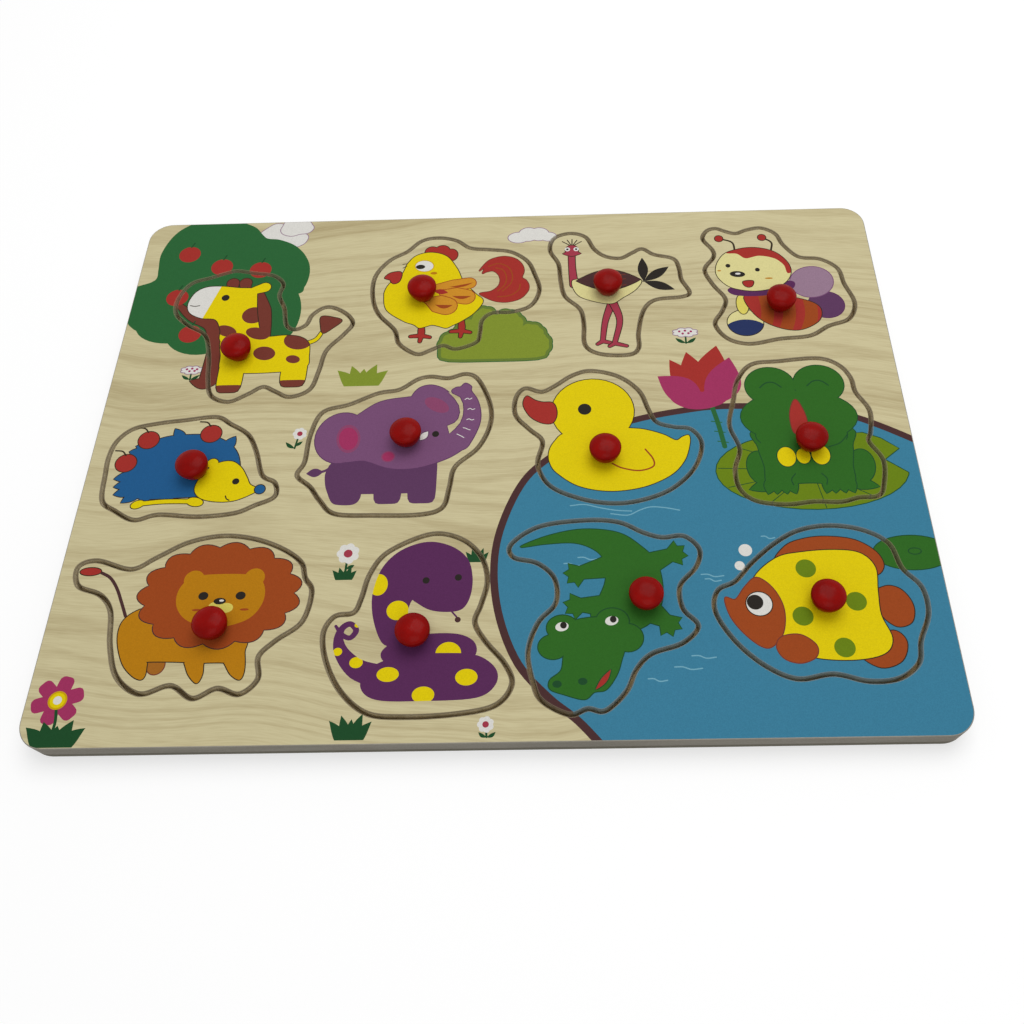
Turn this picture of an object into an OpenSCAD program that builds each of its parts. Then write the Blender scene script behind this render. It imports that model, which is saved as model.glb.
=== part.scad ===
// Peg puzzle: a printed board with twelve lift-out animal pieces, each with a knob to hold it by.
// Origin: the middle of the underside. +X runs to the right, +Y to the back, +Z up.

/* [Board] */
// Width of the board, left to right
board_w = 300; // [260:1:400]
// Depth of the board, front to back
board_d = 225; // [195:1:300]
// Radius of the board's four corners
board_corner_r = 9; // [3:0.5:12]
// Thickness of the printed sheet that the frame and the pieces are cut from
sheet_t = 6; // [4:0.5:9]
// Thickness of the backing board under the frame
backing_t = 3; // [2:0.5:5]
// Width of the saw cut between a piece and the frame
cut_gap = 1.3; // [0.8:0.1:2]

/* [Knobs] */
// Width of a knob where it is widest
knob_d = 11.5; // [9:0.1:14]
// Height of a knob above its piece
knob_h = 8.1; // [7.5:0.1:10]
// Height of a knob's domed crown, above where it is widest
knob_crown_h = 2.6; // [1.8:0.1:4]
// Width of a knob's foot, on the piece
knob_foot_d = 7; // [6:0.1:8.5]

/* [Screws] */
// Width of a screw's shank
screw_d = 3; // [2:0.1:3.6]
// Width of a screw's countersunk head
screw_head_d = 5.6; // [4.8:0.1:6.2]
// Thickness of the straight rim of the head
screw_rim_t = 0.4; // [0.2:0.1:0.8]
// Depth of the head below the underside of the piece
screw_sink = 0.3; // [0.1:0.1:0.8]
// Length of screw that bites into the knob
screw_bite = 5; // [3.5:0.5:6]
// Length of the screw's point
screw_tip_h = 2; // [1:0.1:3]
// Width of the two slots of the cross in the head
screw_cross_w = 0.7; // [0.4:0.1:1]
// Length of each slot of the cross
screw_cross_l = 3; // [2:0.1:4]
// Depth of the cross
screw_cross_h = 0.9; // [0.5:0.1:1.2]
// Clearance round the screw in the piece and in the knob
screw_clearance = 0.1; // [0.05:0.01:0.2]

/* [Pieces in the back row] */
// Width of the giraffe's cut line, as a share of the board's width
giraffe_w_share = 0.242; // [0.22:0.001:0.26]
// Height of the giraffe's cut line, as a share of the board's depth
giraffe_h_share = 0.293; // [0.267:0.001:0.311]
// Width of the hen's cut line, as a share of the board's width
hen_w_share = 0.225; // [0.207:0.001:0.24]
// Height of the hen's cut line, as a share of the board's depth
hen_h_share = 0.271; // [0.249:0.001:0.293]
// Width of the ostrich's cut line, as a share of the board's width
ostrich_w_share = 0.185; // [0.17:0.001:0.2]
// Height of the ostrich's cut line, as a share of the board's depth
ostrich_h_share = 0.287; // [0.262:0.001:0.311]
// Width of the bee's cut line, as a share of the board's width
bee_w_share = 0.192; // [0.177:0.001:0.207]
// Height of the bee's cut line, as a share of the board's depth
bee_h_share = 0.271; // [0.249:0.001:0.293]

/* [Pieces in the middle row] */
// Width of the hedgehog's cut line, as a share of the board's width
hedgehog_w_share = 0.213; // [0.197:0.001:0.23]
// Height of the hedgehog's cut line, as a share of the board's depth
hedgehog_h_share = 0.193; // [0.178:0.001:0.213]
// Width of the elephant's cut line, as a share of the board's width
elephant_w_share = 0.232; // [0.213:0.001:0.247]
// Height of the elephant's cut line, as a share of the board's depth
elephant_h_share = 0.271; // [0.249:0.001:0.293]
// Width of the duck's cut line, as a share of the board's width
duck_w_share = 0.228; // [0.21:0.001:0.243]
// Height of the duck's cut line, as a share of the board's depth
duck_h_share = 0.258; // [0.236:0.001:0.28]
// Width of the frog's cut line, as a share of the board's width
frog_w_share = 0.178; // [0.163:0.001:0.193]
// Height of the frog's cut line, as a share of the board's depth
frog_h_share = 0.282; // [0.258:0.001:0.302]

/* [Pieces in the front row] */
// Width of the lion's cut line, as a share of the board's width
lion_w_share = 0.275; // [0.253:0.001:0.293]
// Height of the lion's cut line, as a share of the board's depth
lion_h_share = 0.26; // [0.24:0.001:0.28]
// Width of the snake's cut line, as a share of the board's width
snake_w_share = 0.208; // [0.19:0.001:0.223]
// Height of the snake's cut line, as a share of the board's depth
snake_h_share = 0.289; // [0.267:0.001:0.311]
// Width of the crocodile's cut line, as a share of the board's width
crocodile_w_share = 0.217; // [0.2:0.001:0.233]
// Height of the crocodile's cut line, as a share of the board's depth
crocodile_h_share = 0.307; // [0.28:0.001:0.324]
// Width of the fish's cut line, as a share of the board's width
fish_w_share = 0.232; // [0.213:0.001:0.247]
// Height of the fish's cut line, as a share of the board's depth
fish_h_share = 0.251; // [0.231:0.001:0.271]

/* [Hidden] */
$fn = 48;
// Straight steps between two points of a cut line, and along each of the two rounds of a knob
curve_steps = 4;
knob_steps = 8;
// Overrun of a cut past the face that it opens
overrun = 1;

// Heights of the faces that the pieces share
recess_z = backing_t;
top_z = backing_t + sheet_t;
// Height of the screw's cone, which is as tall as it is deep
screw_cone_h = (screw_head_d - screw_d) / 2;
screw_l = sheet_t - screw_sink + screw_bite;
// Clear space past the screw's point in the knob
pilot_spare = screw_clearance * 5;

// Middles of the cut lines, as shares of the board's width and depth
giraffe_place_shares = [-0.318, 0.232];
hen_place_shares = [-0.063, 0.313];
ostrich_place_shares = [0.157, 0.308];
bee_place_shares = [0.369, 0.319];
hedgehog_place_shares = [-0.371, -0.042];
elephant_place_shares = [-0.126, -0.003];
duck_place_shares = [0.132, 0.004];
frog_place_shares = [0.371, 0.008];
lion_place_shares = [-0.344, -0.3];
snake_place_shares = [-0.084, -0.317];
crocodile_place_shares = [0.124, -0.308];
fish_place_shares = [0.359, -0.296];

// Middles of the knobs, as shares of the cut line's width and height from its middle
giraffe_knob_shares = [-0.09, -0.158];
hen_knob_shares = [-0.189, -0.015];
ostrich_knob_shares = [-0.087, 0.016];
bee_knob_shares = [-0.02, -0.193];
hedgehog_knob_shares = [0.027, -0.049];
elephant_knob_shares = [0.061, 0.019];
duck_knob_shares = [-0.015, -0.155];
frog_knob_shares = [0.02, -0.109];
lion_knob_shares = [0.126, -0.093];
snake_knob_shares = [-0.014, -0.081];
crocodile_knob_shares = [0.198, 0.061];
fish_knob_shares = [0.021, -0.008];

// Points of the cut lines, clockwise from the top, as shares of the width and height
giraffe_cut_shares = [
    [-0.195, 0.5], [-0.1, 0.48], [0.015, 0.455], [0.08, 0.385], [0.07, 0.29], [0.11, 0.185],
    [0.135, 0.06], [0.185, 0.02], [0.245, 0.055], [0.275, 0.135], [0.35, 0.19], [0.445, 0.145],
    [0.5, 0.06], [0.455, -0.03], [0.375, -0.145], [0.35, -0.29], [0.315, -0.425], [0.215, -0.475],
    [0.135, -0.435], [0.065, -0.4], [-0.01, -0.45], [-0.105, -0.5], [-0.2, -0.455], [-0.235, -0.335],
    [-0.255, -0.175], [-0.3, -0.01], [-0.41, 0.075], [-0.49, 0.17], [-0.495, 0.29], [-0.44, 0.405],
    [-0.335, 0.45], [-0.265, 0.48]
];
hen_cut_shares = [
    [-0.12, 0.5], [-0.01, 0.47], [0.075, 0.4], [0.195, 0.38], [0.325, 0.355], [0.425, 0.27],
    [0.47, 0.155], [0.5, 0.01], [0.45, -0.12], [0.34, -0.17], [0.225, -0.175], [0.165, -0.235],
    [0.155, -0.335], [0.135, -0.415], [0.02, -0.465], [-0.055, -0.435], [-0.125, -0.47],
    [-0.205, -0.5], [-0.31, -0.415], [-0.345, -0.3], [-0.45, -0.16], [-0.495, -0.005], [-0.49, 0.165],
    [-0.415, 0.3], [-0.31, 0.38], [-0.225, 0.475]
];
ostrich_cut_shares = [
    [-0.35, 0.5], [-0.235, 0.465], [-0.175, 0.36], [-0.095, 0.295], [0.015, 0.275], [0.1, 0.315],
    [0.18, 0.35], [0.265, 0.3], [0.405, 0.26], [0.44, 0.18], [0.45, 0.085], [0.5, -0.02],
    [0.44, -0.055], [0.25, -0.075], [0.16, -0.16], [0.115, -0.33], [0.11, -0.445], [0.04, -0.495],
    [-0.155, -0.485], [-0.26, -0.415], [-0.265, -0.255], [-0.29, -0.135], [-0.395, -0.03],
    [-0.425, 0.1], [-0.44, 0.24], [-0.5, 0.355], [-0.47, 0.46]
];
bee_cut_shares = [
    [-0.39, 0.5], [-0.32, 0.47], [-0.25, 0.45], [-0.17, 0.48], [-0.065, 0.495], [0.03, 0.44],
    [0.075, 0.335], [0.17, 0.225], [0.315, 0.2], [0.425, 0.115], [0.45, -0.02], [0.495, -0.185],
    [0.435, -0.315], [0.29, -0.37], [0.155, -0.445], [-0.05, -0.465], [-0.25, -0.5], [-0.395, -0.455],
    [-0.47, -0.335], [-0.41, -0.225], [-0.38, -0.125], [-0.455, 0], [-0.5, 0.13], [-0.43, 0.235],
    [-0.43, 0.305], [-0.49, 0.405], [-0.455, 0.48]
];
hedgehog_cut_shares = [
    [0.08, 0.5], [0.17, 0.425], [0.285, 0.31], [0.35, 0.135], [0.405, -0.095], [0.485, -0.175],
    [0.495, -0.305], [0.39, -0.385], [0.28, -0.455], [0.08, -0.48], [-0.14, -0.455], [-0.27, -0.5],
    [-0.39, -0.41], [-0.475, -0.31], [-0.495, -0.055], [-0.5, 0.115], [-0.475, 0.275], [-0.395, 0.395],
    [-0.26, 0.445], [-0.095, 0.475]
];
elephant_cut_shares = [
    [0.355, 0.5], [0.425, 0.45], [0.49, 0.27], [0.495, 0.115], [0.435, -0.05], [0.32, -0.18],
    [0.295, -0.32], [0.265, -0.455], [0.155, -0.5], [-0.075, -0.5], [-0.28, -0.485], [-0.365, -0.395],
    [-0.425, -0.3], [-0.5, -0.22], [-0.47, -0.125], [-0.46, 0.06], [-0.41, 0.23], [-0.27, 0.285],
    [-0.12, 0.365], [-0.005, 0.39], [0.09, 0.465], [0.165, 0.485], [0.26, 0.47]
];
duck_cut_shares = [
    [-0.075, 0.5], [0.075, 0.45], [0.185, 0.33], [0.23, 0.18], [0.27, 0.085], [0.36, 0.045],
    [0.45, 0.025], [0.5, -0.085], [0.45, -0.26], [0.325, -0.405], [0.17, -0.48], [0.02, -0.5],
    [-0.145, -0.465], [-0.305, -0.37], [-0.37, -0.215], [-0.345, -0.045], [-0.415, 0.05],
    [-0.49, 0.16], [-0.49, 0.295], [-0.44, 0.37], [-0.35, 0.34], [-0.275, 0.385], [-0.18, 0.465]
];
frog_cut_shares = [
    [0.18, 0.5], [0.32, 0.445], [0.385, 0.35], [0.4, 0.245], [0.47, 0.115], [0.45, -0.03],
    [0.425, -0.1], [0.495, -0.225], [0.47, -0.375], [0.42, -0.455], [0.29, -0.465], [0.17, -0.49],
    [-0.005, -0.485], [-0.185, -0.5], [-0.38, -0.475], [-0.48, -0.395], [-0.495, -0.265],
    [-0.45, -0.13], [-0.5, 0.03], [-0.455, 0.2], [-0.405, 0.355], [-0.295, 0.465], [-0.1, 0.485]
];
lion_cut_shares = [
    [0.09, 0.5], [0.23, 0.475], [0.355, 0.405], [0.44, 0.315], [0.465, 0.215], [0.5, 0.125],
    [0.475, -0.06], [0.38, -0.17], [0.32, -0.265], [0.33, -0.395], [0.265, -0.48], [0.175, -0.445],
    [0.085, -0.5], [-0.01, -0.425], [-0.125, -0.47], [-0.23, -0.37], [-0.285, -0.18], [-0.315, 0.025],
    [-0.375, 0.13], [-0.475, 0.19], [-0.495, 0.31], [-0.42, 0.35], [-0.27, 0.29], [-0.17, 0.365],
    [-0.05, 0.46]
];
snake_cut_shares = [
    [0.035, 0.495], [0.205, 0.465], [0.32, 0.36], [0.36, 0.22], [0.33, 0.085], [0.3, -0.015],
    [0.36, -0.12], [0.46, -0.235], [0.5, -0.345], [0.415, -0.45], [0.21, -0.49], [-0.045, -0.5],
    [-0.23, -0.48], [-0.37, -0.375], [-0.465, -0.22], [-0.5, -0.065], [-0.45, 0.03], [-0.35, 0.05],
    [-0.315, 0.13], [-0.28, 0.27], [-0.19, 0.395]
];
crocodile_cut_shares = [
    [-0.095, 0.5], [0.08, 0.485], [0.205, 0.425], [0.305, 0.395], [0.42, 0.4], [0.495, 0.325],
    [0.47, 0.23], [0.38, 0.13], [0.385, 0.01], [0.455, -0.08], [0.37, -0.165], [0.215, -0.215],
    [0.135, -0.29], [0.08, -0.395], [-0.025, -0.485], [-0.11, -0.475], [-0.2, -0.5], [-0.33, -0.435],
    [-0.375, -0.345], [-0.4, -0.195], [-0.35, -0.05], [-0.26, 0.05], [-0.265, 0.18], [-0.355, 0.265],
    [-0.48, 0.3], [-0.49, 0.375], [-0.34, 0.47]
];
fish_cut_shares = [
    [0.1, 0.495], [0.26, 0.46], [0.375, 0.365], [0.415, 0.2], [0.49, 0.075], [0.495, -0.09],
    [0.435, -0.255], [0.405, -0.39], [0.305, -0.48], [0.165, -0.495], [0.01, -0.45], [-0.155, -0.475],
    [-0.295, -0.395], [-0.42, -0.245], [-0.5, -0.06], [-0.48, 0.075], [-0.39, 0.135], [-0.3, 0.255],
    [-0.18, 0.38], [-0.055, 0.465]
];

// One row for each animal: name, size shares, place shares, knob shares, cut line shares, main colour
NAME = 0;
SIZE = 1;
PLACE = 2;
KNOB = 3;
CUT = 4;
TINT = 5;
animals = [
    ["giraffe", [giraffe_w_share, giraffe_h_share], giraffe_place_shares,
        giraffe_knob_shares, giraffe_cut_shares, "gold"],
    ["hen", [hen_w_share, hen_h_share], hen_place_shares,
        hen_knob_shares, hen_cut_shares, "gold"],
    ["ostrich", [ostrich_w_share, ostrich_h_share], ostrich_place_shares,
        ostrich_knob_shares, ostrich_cut_shares, "wheat"],
    ["bee", [bee_w_share, bee_h_share], bee_place_shares,
        bee_knob_shares, bee_cut_shares, "orangered"],
    ["hedgehog", [hedgehog_w_share, hedgehog_h_share], hedgehog_place_shares,
        hedgehog_knob_shares, hedgehog_cut_shares, "royalblue"],
    ["elephant", [elephant_w_share, elephant_h_share], elephant_place_shares,
        elephant_knob_shares, elephant_cut_shares, "mediumpurple"],
    ["duck", [duck_w_share, duck_h_share], duck_place_shares,
        duck_knob_shares, duck_cut_shares, "yellow"],
    ["frog", [frog_w_share, frog_h_share], frog_place_shares,
        frog_knob_shares, frog_cut_shares, "forestgreen"],
    ["lion", [lion_w_share, lion_h_share], lion_place_shares,
        lion_knob_shares, lion_cut_shares, "orange"],
    ["snake", [snake_w_share, snake_h_share], snake_place_shares,
        snake_knob_shares, snake_cut_shares, "purple"],
    ["crocodile", [crocodile_w_share, crocodile_h_share], crocodile_place_shares,
        crocodile_knob_shares, crocodile_cut_shares, "green"],
    ["fish", [fish_w_share, fish_h_share], fish_place_shares,
        fish_knob_shares, fish_cut_shares, "yellow"]
];

kinds = ["piece", "knob", "screw"];

// Product of two pairs, term by term
function by_terms(a, b) = [a[0] * b[0], a[1] * b[1]];

// Size of an animal's cut line, its middle on the board, and the middle of its knob
function size_of(animal) = by_terms(animal[SIZE], [board_w, board_d]);
function middle_of(animal) = by_terms(animal[PLACE], [board_w, board_d]);
function knob_at(animal) = middle_of(animal) + by_terms(animal[KNOB], size_of(animal));

// Point at share t of the way from b to c on a smooth curve through a, b, c and d
function on_curve(a, b, c, d, t) =
    (2 * b + (c - a) * t + (2 * a - 5 * b + 4 * c - d) * t * t + (3 * b - a - 3 * c + d) * t * t * t) / 2;

// Closed smooth curve through a list of points
function closed_curve(points) = let (n = len(points)) [
    for (i = [0:n - 1]) for (k = [0:curve_steps - 1])
        on_curve(points[(i + n - 1) % n], points[i], points[(i + 1) % n], points[(i + 2) % n], k / curve_steps)
];

// A clockwise closed line moved outwards by a distance, or inwards by a negative one
function moved_out(line, distance) = let (n = len(line)) [
    for (i = [0:n - 1])
        let (run = line[(i + 1) % n] - line[(i + n - 1) % n])
            line[i] + distance * [-run[1], run[0]] / norm(run)
];

// The middle of an animal's saw cut, as a closed line on the board
function cut_line(animal) = closed_curve(
    [for (share = animal[CUT]) middle_of(animal) + by_terms(share, size_of(animal))]
);

// Outline of a knob as radius and height: a stem that swells from the foot, and a domed crown
function knob_outline() =
    let (crown_r = knob_d / 2, foot_r = knob_foot_d / 2, stem_h = knob_h - knob_crown_h)
        concat(
            [[0, 0]],
            [for (k = [0:knob_steps - 1])
                [foot_r + (crown_r - foot_r) * sin(90 * k / knob_steps), stem_h * k / knob_steps]],
            [for (k = [0:knob_steps])
                [crown_r * cos(90 * k / knob_steps), stem_h + knob_crown_h * sin(90 * k / knob_steps)]]
        );

// Flat outline of the board with its rounded corners
module board_outline() {
    square([board_w - 2 * board_corner_r, board_d], center = true);
    square([board_w, board_d - 2 * board_corner_r], center = true);
    for (x = [-1, 1]) for (y = [-1, 1])
        translate([x * (board_w / 2 - board_corner_r), y * (board_d / 2 - board_corner_r)])
            circle(r = board_corner_r);
}

// Printed frame with an opening for each piece
module frame_board() {
    color("burlywood") translate([0, 0, recess_z]) linear_extrude(sheet_t) difference() {
        board_outline();
        for (animal = animals) polygon(moved_out(cut_line(animal), cut_gap / 2));
    }
}

// Plain board that closes the openings from below
module backing_board() {
    color("tan") linear_extrude(backing_t) board_outline();
}

// Solid of a screw standing on its head, widened all round by a clearance
module screw_body(clearance) {
    head_r = screw_head_d / 2 + clearance;
    shank_r = screw_d / 2 + clearance;
    cylinder(h = screw_rim_t, r = head_r);
    translate([0, 0, screw_rim_t]) cylinder(h = screw_cone_h, r1 = head_r, r2 = shank_r);
    translate([0, 0, screw_rim_t]) cylinder(h = screw_l - screw_tip_h - screw_rim_t, r = shank_r);
}

// Animal piece with the countersunk hole for its screw
module animal_piece(animal) {
    color(animal[TINT]) difference() {
        translate([0, 0, recess_z]) linear_extrude(sheet_t)
            polygon(moved_out(cut_line(animal), -cut_gap / 2));
        translate(concat(knob_at(animal), recess_z + screw_sink)) screw_body(screw_clearance);
        translate(concat(knob_at(animal), recess_z - overrun))
            cylinder(h = overrun + screw_sink + screw_rim_t, r = screw_head_d / 2 + screw_clearance);
    }
}

// Round knob with the pilot hole that its screw bites into
module animal_knob(animal) {
    color("firebrick") translate(concat(knob_at(animal), top_z)) difference() {
        rotate_extrude() polygon(knob_outline());
        translate([0, 0, -overrun])
            cylinder(h = overrun + screw_bite + pilot_spare, r = screw_d / 2 + screw_clearance);
    }
}

// Countersunk screw that holds the knob from under the piece
module animal_screw(animal) {
    color("silver") translate(concat(knob_at(animal), recess_z + screw_sink)) difference() {
        union() {
            screw_body(0);
            translate([0, 0, screw_l - screw_tip_h]) cylinder(h = screw_tip_h, r1 = screw_d / 2, r2 = 0);
        }
        for (turn = [0, 90]) rotate(turn)
            translate([-screw_cross_l / 2, -screw_cross_w / 2, -overrun])
                cube([screw_cross_l, screw_cross_w, overrun + screw_cross_h]);
    }
}

frame_board();
backing_board();
for (animal = animals) {
    animal_piece(animal);
    animal_knob(animal);
    animal_screw(animal);
}
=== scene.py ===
"""Dresses the peg puzzle: a printed board, twelve printed animal pieces, red knobs and steel screws.

The sheet is printed first and sawn afterwards, so one background runs on over the frame and the pieces,
and each animal is drawn on its own piece. A drawing is a list of flat shapes, painted in order. The plane
is cut along all their outlines at once, and each triangle takes the ink of the last shape that covers it.
"""

import logging
from dataclasses import dataclass, field
from enum import Enum, IntEnum
from typing import Any

import bpy
import numpy as np
from mathutils import Matrix, Vector
from mathutils.geometry import delaunay_2d_cdt

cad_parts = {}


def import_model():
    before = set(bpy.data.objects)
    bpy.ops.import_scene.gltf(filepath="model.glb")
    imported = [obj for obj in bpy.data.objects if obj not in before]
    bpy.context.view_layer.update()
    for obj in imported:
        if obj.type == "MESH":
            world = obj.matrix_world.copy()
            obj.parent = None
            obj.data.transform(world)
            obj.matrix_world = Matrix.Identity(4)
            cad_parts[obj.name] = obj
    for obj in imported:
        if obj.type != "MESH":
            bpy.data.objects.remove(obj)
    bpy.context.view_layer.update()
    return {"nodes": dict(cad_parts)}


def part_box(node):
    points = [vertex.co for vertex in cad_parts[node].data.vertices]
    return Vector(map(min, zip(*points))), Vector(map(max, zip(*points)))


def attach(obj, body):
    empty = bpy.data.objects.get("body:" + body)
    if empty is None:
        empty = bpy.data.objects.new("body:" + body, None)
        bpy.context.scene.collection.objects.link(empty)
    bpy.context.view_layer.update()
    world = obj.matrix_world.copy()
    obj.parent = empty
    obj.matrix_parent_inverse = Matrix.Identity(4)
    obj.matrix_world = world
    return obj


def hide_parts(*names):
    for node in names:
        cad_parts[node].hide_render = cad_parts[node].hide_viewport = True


log = logging.getLogger("peg_puzzle")

# Drawing and shaping are done in millimetres
MM = 0.001
# Points closer than this, in mm, are one point where the plane is cut
MERGE_MM = 1e-4
# Decimals that are kept of the places of CAD points in mm
CAD_DECIMALS = 4
# Least length, in mm, that a direction is worked out from
SHORTEST_MM = 1e-9
# Straight steps between two points of a drawn curve, round an oval, round a lobe and along a leaf
CURVE_STEPS = 6
OVAL_STEPS = 36
LOBE_STEPS = 8
LEAF_STEPS = 12
# Straight steps round an end of a stroke, and in each round of an edge
CAP_STEPS = 7
EASE_STEPS = 4
# Power of the oval that makes a box with round corners
BOX_POWER = 6
# Products worked out at once in the test of which points lie inside a loop
CHUNK = 4_000_000
# Ranges of a noise's values that are stretched to a full range, for a soft and for a stronger pattern
NOISE_SOFT = (0.3, 0.7)
NOISE_STRONG = (0.35, 0.65)
# Places of the sockets for colours on a Mix node
MIX_SHARE, MIX_FIRST, MIX_SECOND, MIX_RESULT = 0, 6, 7, 2

Loop = np.ndarray
Pair = tuple[float, float]
Triple = tuple[float, float, float]
Bytes = tuple[int, int, int]
Colour = tuple[float, float, float, float]


def linear(red: int, green: int, blue: int, cover: float = 1.0) -> Colour:
    """Turns sRGB bytes into a linear colour by the two parts of the sRGB curve.

    Args:
        red: Byte of red.
        green: Byte of green.
        blue: Byte of blue.
        cover: Share of the surface that the colour covers.

    Returns:
        Linear red, green and blue, and the cover.
    """
    share = np.array([red, green, blue]) / 255
    curved = np.where(share <= 0.04045, share / 12.92, ((share + 0.055) / 1.055) ** 2.4)
    return (*curved.tolist(), cover)


class Ink(Enum):
    """Inks of the print, as sRGB bytes."""

    WHITE = (214, 212, 206)
    BARE = (0, 0, 0, 0)
    CREAM = (212, 204, 142)
    YELLOW = (218, 196, 8)
    STRAW = (212, 199, 94)
    ORANGE = (200, 138, 40)
    AMBER = (196, 156, 10)
    OCHRE = (178, 120, 18)
    RUST = (151, 69, 29)
    TAN = (156, 98, 34)
    BROWN = (112, 54, 44)
    BANK = (72, 46, 46)
    RED = (158, 48, 42)
    MAGENTA = (155, 50, 92)
    PINK = (156, 56, 72)
    LILAC = (146, 118, 138)
    PATCH = (134, 68, 102)
    MAUVE = (116, 76, 112)
    PLUM = (90, 56, 90)
    PURPLE = (86, 42, 84)
    NAVY = (38, 50, 90)
    BLUE = (34, 88, 136)
    WATER = (58, 122, 150)
    RIPPLE = (112, 164, 182)
    TREE = (42, 96, 52)
    LEAF = (30, 72, 40)
    GREEN = (46, 99, 33)
    MOSS = (98, 118, 50)
    OLIVE = (124, 140, 46)
    PAD = (102, 126, 20)
    LINE = (50, 40, 28)
    BLACK = (40, 36, 32)


class Face(IntEnum):
    """Places in a slab's list of materials."""

    PRINT = 0
    CUT = 1
    EDGE = 2
    UNDER = 3


@dataclass(frozen=True, eq=False)
class Shape:
    """A flat area of ink on the board, kept to the inside of another loop where one is given."""

    ink: Ink
    loop: Loop
    within: Loop | None = None


def on_curve(a: Any, b: Any, c: Any, d: Any, share: Any) -> np.ndarray:
    """Points on the Catmull-Rom cubic through a, b, c and d, between b and c.

    Args:
        a: Point before b.
        b: Point where the stretch starts.
        c: Point where the stretch ends.
        d: Point after c.
        share: Share of the way from b to c.

    Returns:
        The points at that share.
    """
    square = (2 * a - 5 * b + 4 * c - d) * share ** 2
    cube = (3 * b - a - 3 * c + d) * share ** 3
    return (2 * b + (c - a) * share + square + cube) / 2


def closed_curve(points: Any, steps: int = CURVE_STEPS) -> Loop:
    """Closed smooth curve: a Catmull-Rom cubic between each two of the points.

    Args:
        points: Points in order, the last joined to the first.
        steps: Straight steps between two points.

    Returns:
        The points of the curve, one row each.
    """
    b = np.asarray(points, float)[:, None]
    a, c, d = (np.roll(b, shift, 0) for shift in (1, -1, -2))
    share = (np.arange(steps) / steps)[None, :, None]
    return on_curve(a, b, c, d, share).reshape(-1, 2)


def open_curve(points: Any) -> np.ndarray:
    """Open smooth curve: the same cubic, with the end points mirrored beyond the ends.

    Args:
        points: Two or more points in order.

    Returns:
        The points of the curve, one row each.
    """
    inner = np.asarray(points, float)
    whole = np.vstack([2 * inner[0] - inner[1], inner, 2 * inner[-1] - inner[-2]])
    a, b, c, d = (whole[start:len(whole) - 3 + start, None] for start in range(4))
    share = (np.arange(CURVE_STEPS) / CURVE_STEPS)[None, :, None]
    return np.vstack([on_curve(a, b, c, d, share).reshape(-1, 2), inner[-1]])


def even_angles(count: int) -> np.ndarray:
    """Angles at even steps round a full turn."""
    return np.linspace(0, 2 * np.pi, count, endpoint=False)


def unit(angle: np.ndarray) -> np.ndarray:
    """Unit vectors at angles from the X axis, one row each."""
    return np.column_stack([np.cos(angle), np.sin(angle)])


def right_of(run: np.ndarray) -> np.ndarray:
    """Unit vectors a quarter turn to the right of each run."""
    length = np.maximum(np.linalg.norm(run, axis=-1, keepdims=True), SHORTEST_MM)
    return np.stack([run[..., 1], -run[..., 0]], -1) / length


def outward(loop: Loop) -> np.ndarray:
    """Unit vector to the right of each point of a loop, square to the line between its two neighbours."""
    return right_of(np.roll(loop, -1, 0) - np.roll(loop, 1, 0))


def signed_area(loop: Loop) -> float:
    """Area of a loop, above zero where it runs counter-clockwise."""
    after = np.roll(loop, -1, 0)
    return float((loop[:, 0] * after[:, 1] - after[:, 0] * loop[:, 1]).sum() / 2)


def grown(loop: Loop, distance: float) -> Loop:
    """A loop moved outwards all round, whichever way it runs."""
    return loop + outward(loop) * distance * np.sign(signed_area(loop))


def extent(loop: Loop) -> np.ndarray:
    """Least x and y and greatest x and y of a loop."""
    return np.concatenate([loop.min(0), loop.max(0)])


def overlaps(loop: Loop, low: np.ndarray, high: np.ndarray) -> bool:
    """Whether a loop's box meets a box."""
    return bool((loop.min(0) <= high[:2]).all() and (loop.max(0) >= low[:2]).all())


def winding(points: np.ndarray, loop: Loop) -> np.ndarray:
    """How often a loop goes round each point: edges to its right that rise past it, less those that drop.

    Args:
        points: Points, one row each.
        loop: Closed loop.

    Returns:
        One whole number for each point, 0 outside the loop.
    """
    turns = np.zeros(len(points), int)
    near = np.flatnonzero(((points >= loop.min(0)) & (points <= loop.max(0))).all(1))
    start, stop = loop.T, np.roll(loop, -1, 0).T
    for part in np.array_split(near, 1 + len(near) * len(loop) // CHUNK):
        x, y = points[part, 0, None], points[part, 1, None]
        side = (stop[0] - start[0]) * (y - start[1]) - (x - start[0]) * (stop[1] - start[1])
        rises = (start[1] <= y) & (stop[1] > y) & (side > 0)
        drops = (start[1] > y) & (stop[1] <= y) & (side < 0)
        turns[part] = rises.sum(1) - drops.sum(1)
    return turns


def cut_plane(loops: list[Loop], merge: float) -> tuple[np.ndarray, np.ndarray, np.ndarray]:
    """Cuts the plane into triangles along every loop (constrained Delaunay triangles).

    Args:
        loops: Closed loops, which may cross.
        merge: Points closer than this, in mm, become one.

    Returns:
        Points, counter-clockwise triangles, and for each point the number of the loop point that it comes
        from, or -1.
    """
    counts = np.array([len(loop) for loop in loops])
    first = np.repeat(np.cumsum(counts) - counts, counts)
    here = np.arange(counts.sum())
    after = first + (here + 1 - first) % np.repeat(counts, counts)
    corners = [Vector(corner) for corner in np.concatenate(loops).tolist()]
    edges = np.stack([here, after], 1).tolist()
    places, _, faces, sources, _, _ = delaunay_2d_cdt(corners, edges, [], 0, merge, True)
    points = np.array([tuple(place) for place in places])
    triangles = np.array(faces)
    a, b, c = (points[triangles[:, corner]] for corner in range(3))
    clockwise = np.cross(b - a, c - a) < 0
    triangles[clockwise] = triangles[clockwise][:, ::-1]
    return points, triangles, np.array([source[0] if source else -1 for source in sources])


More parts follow.
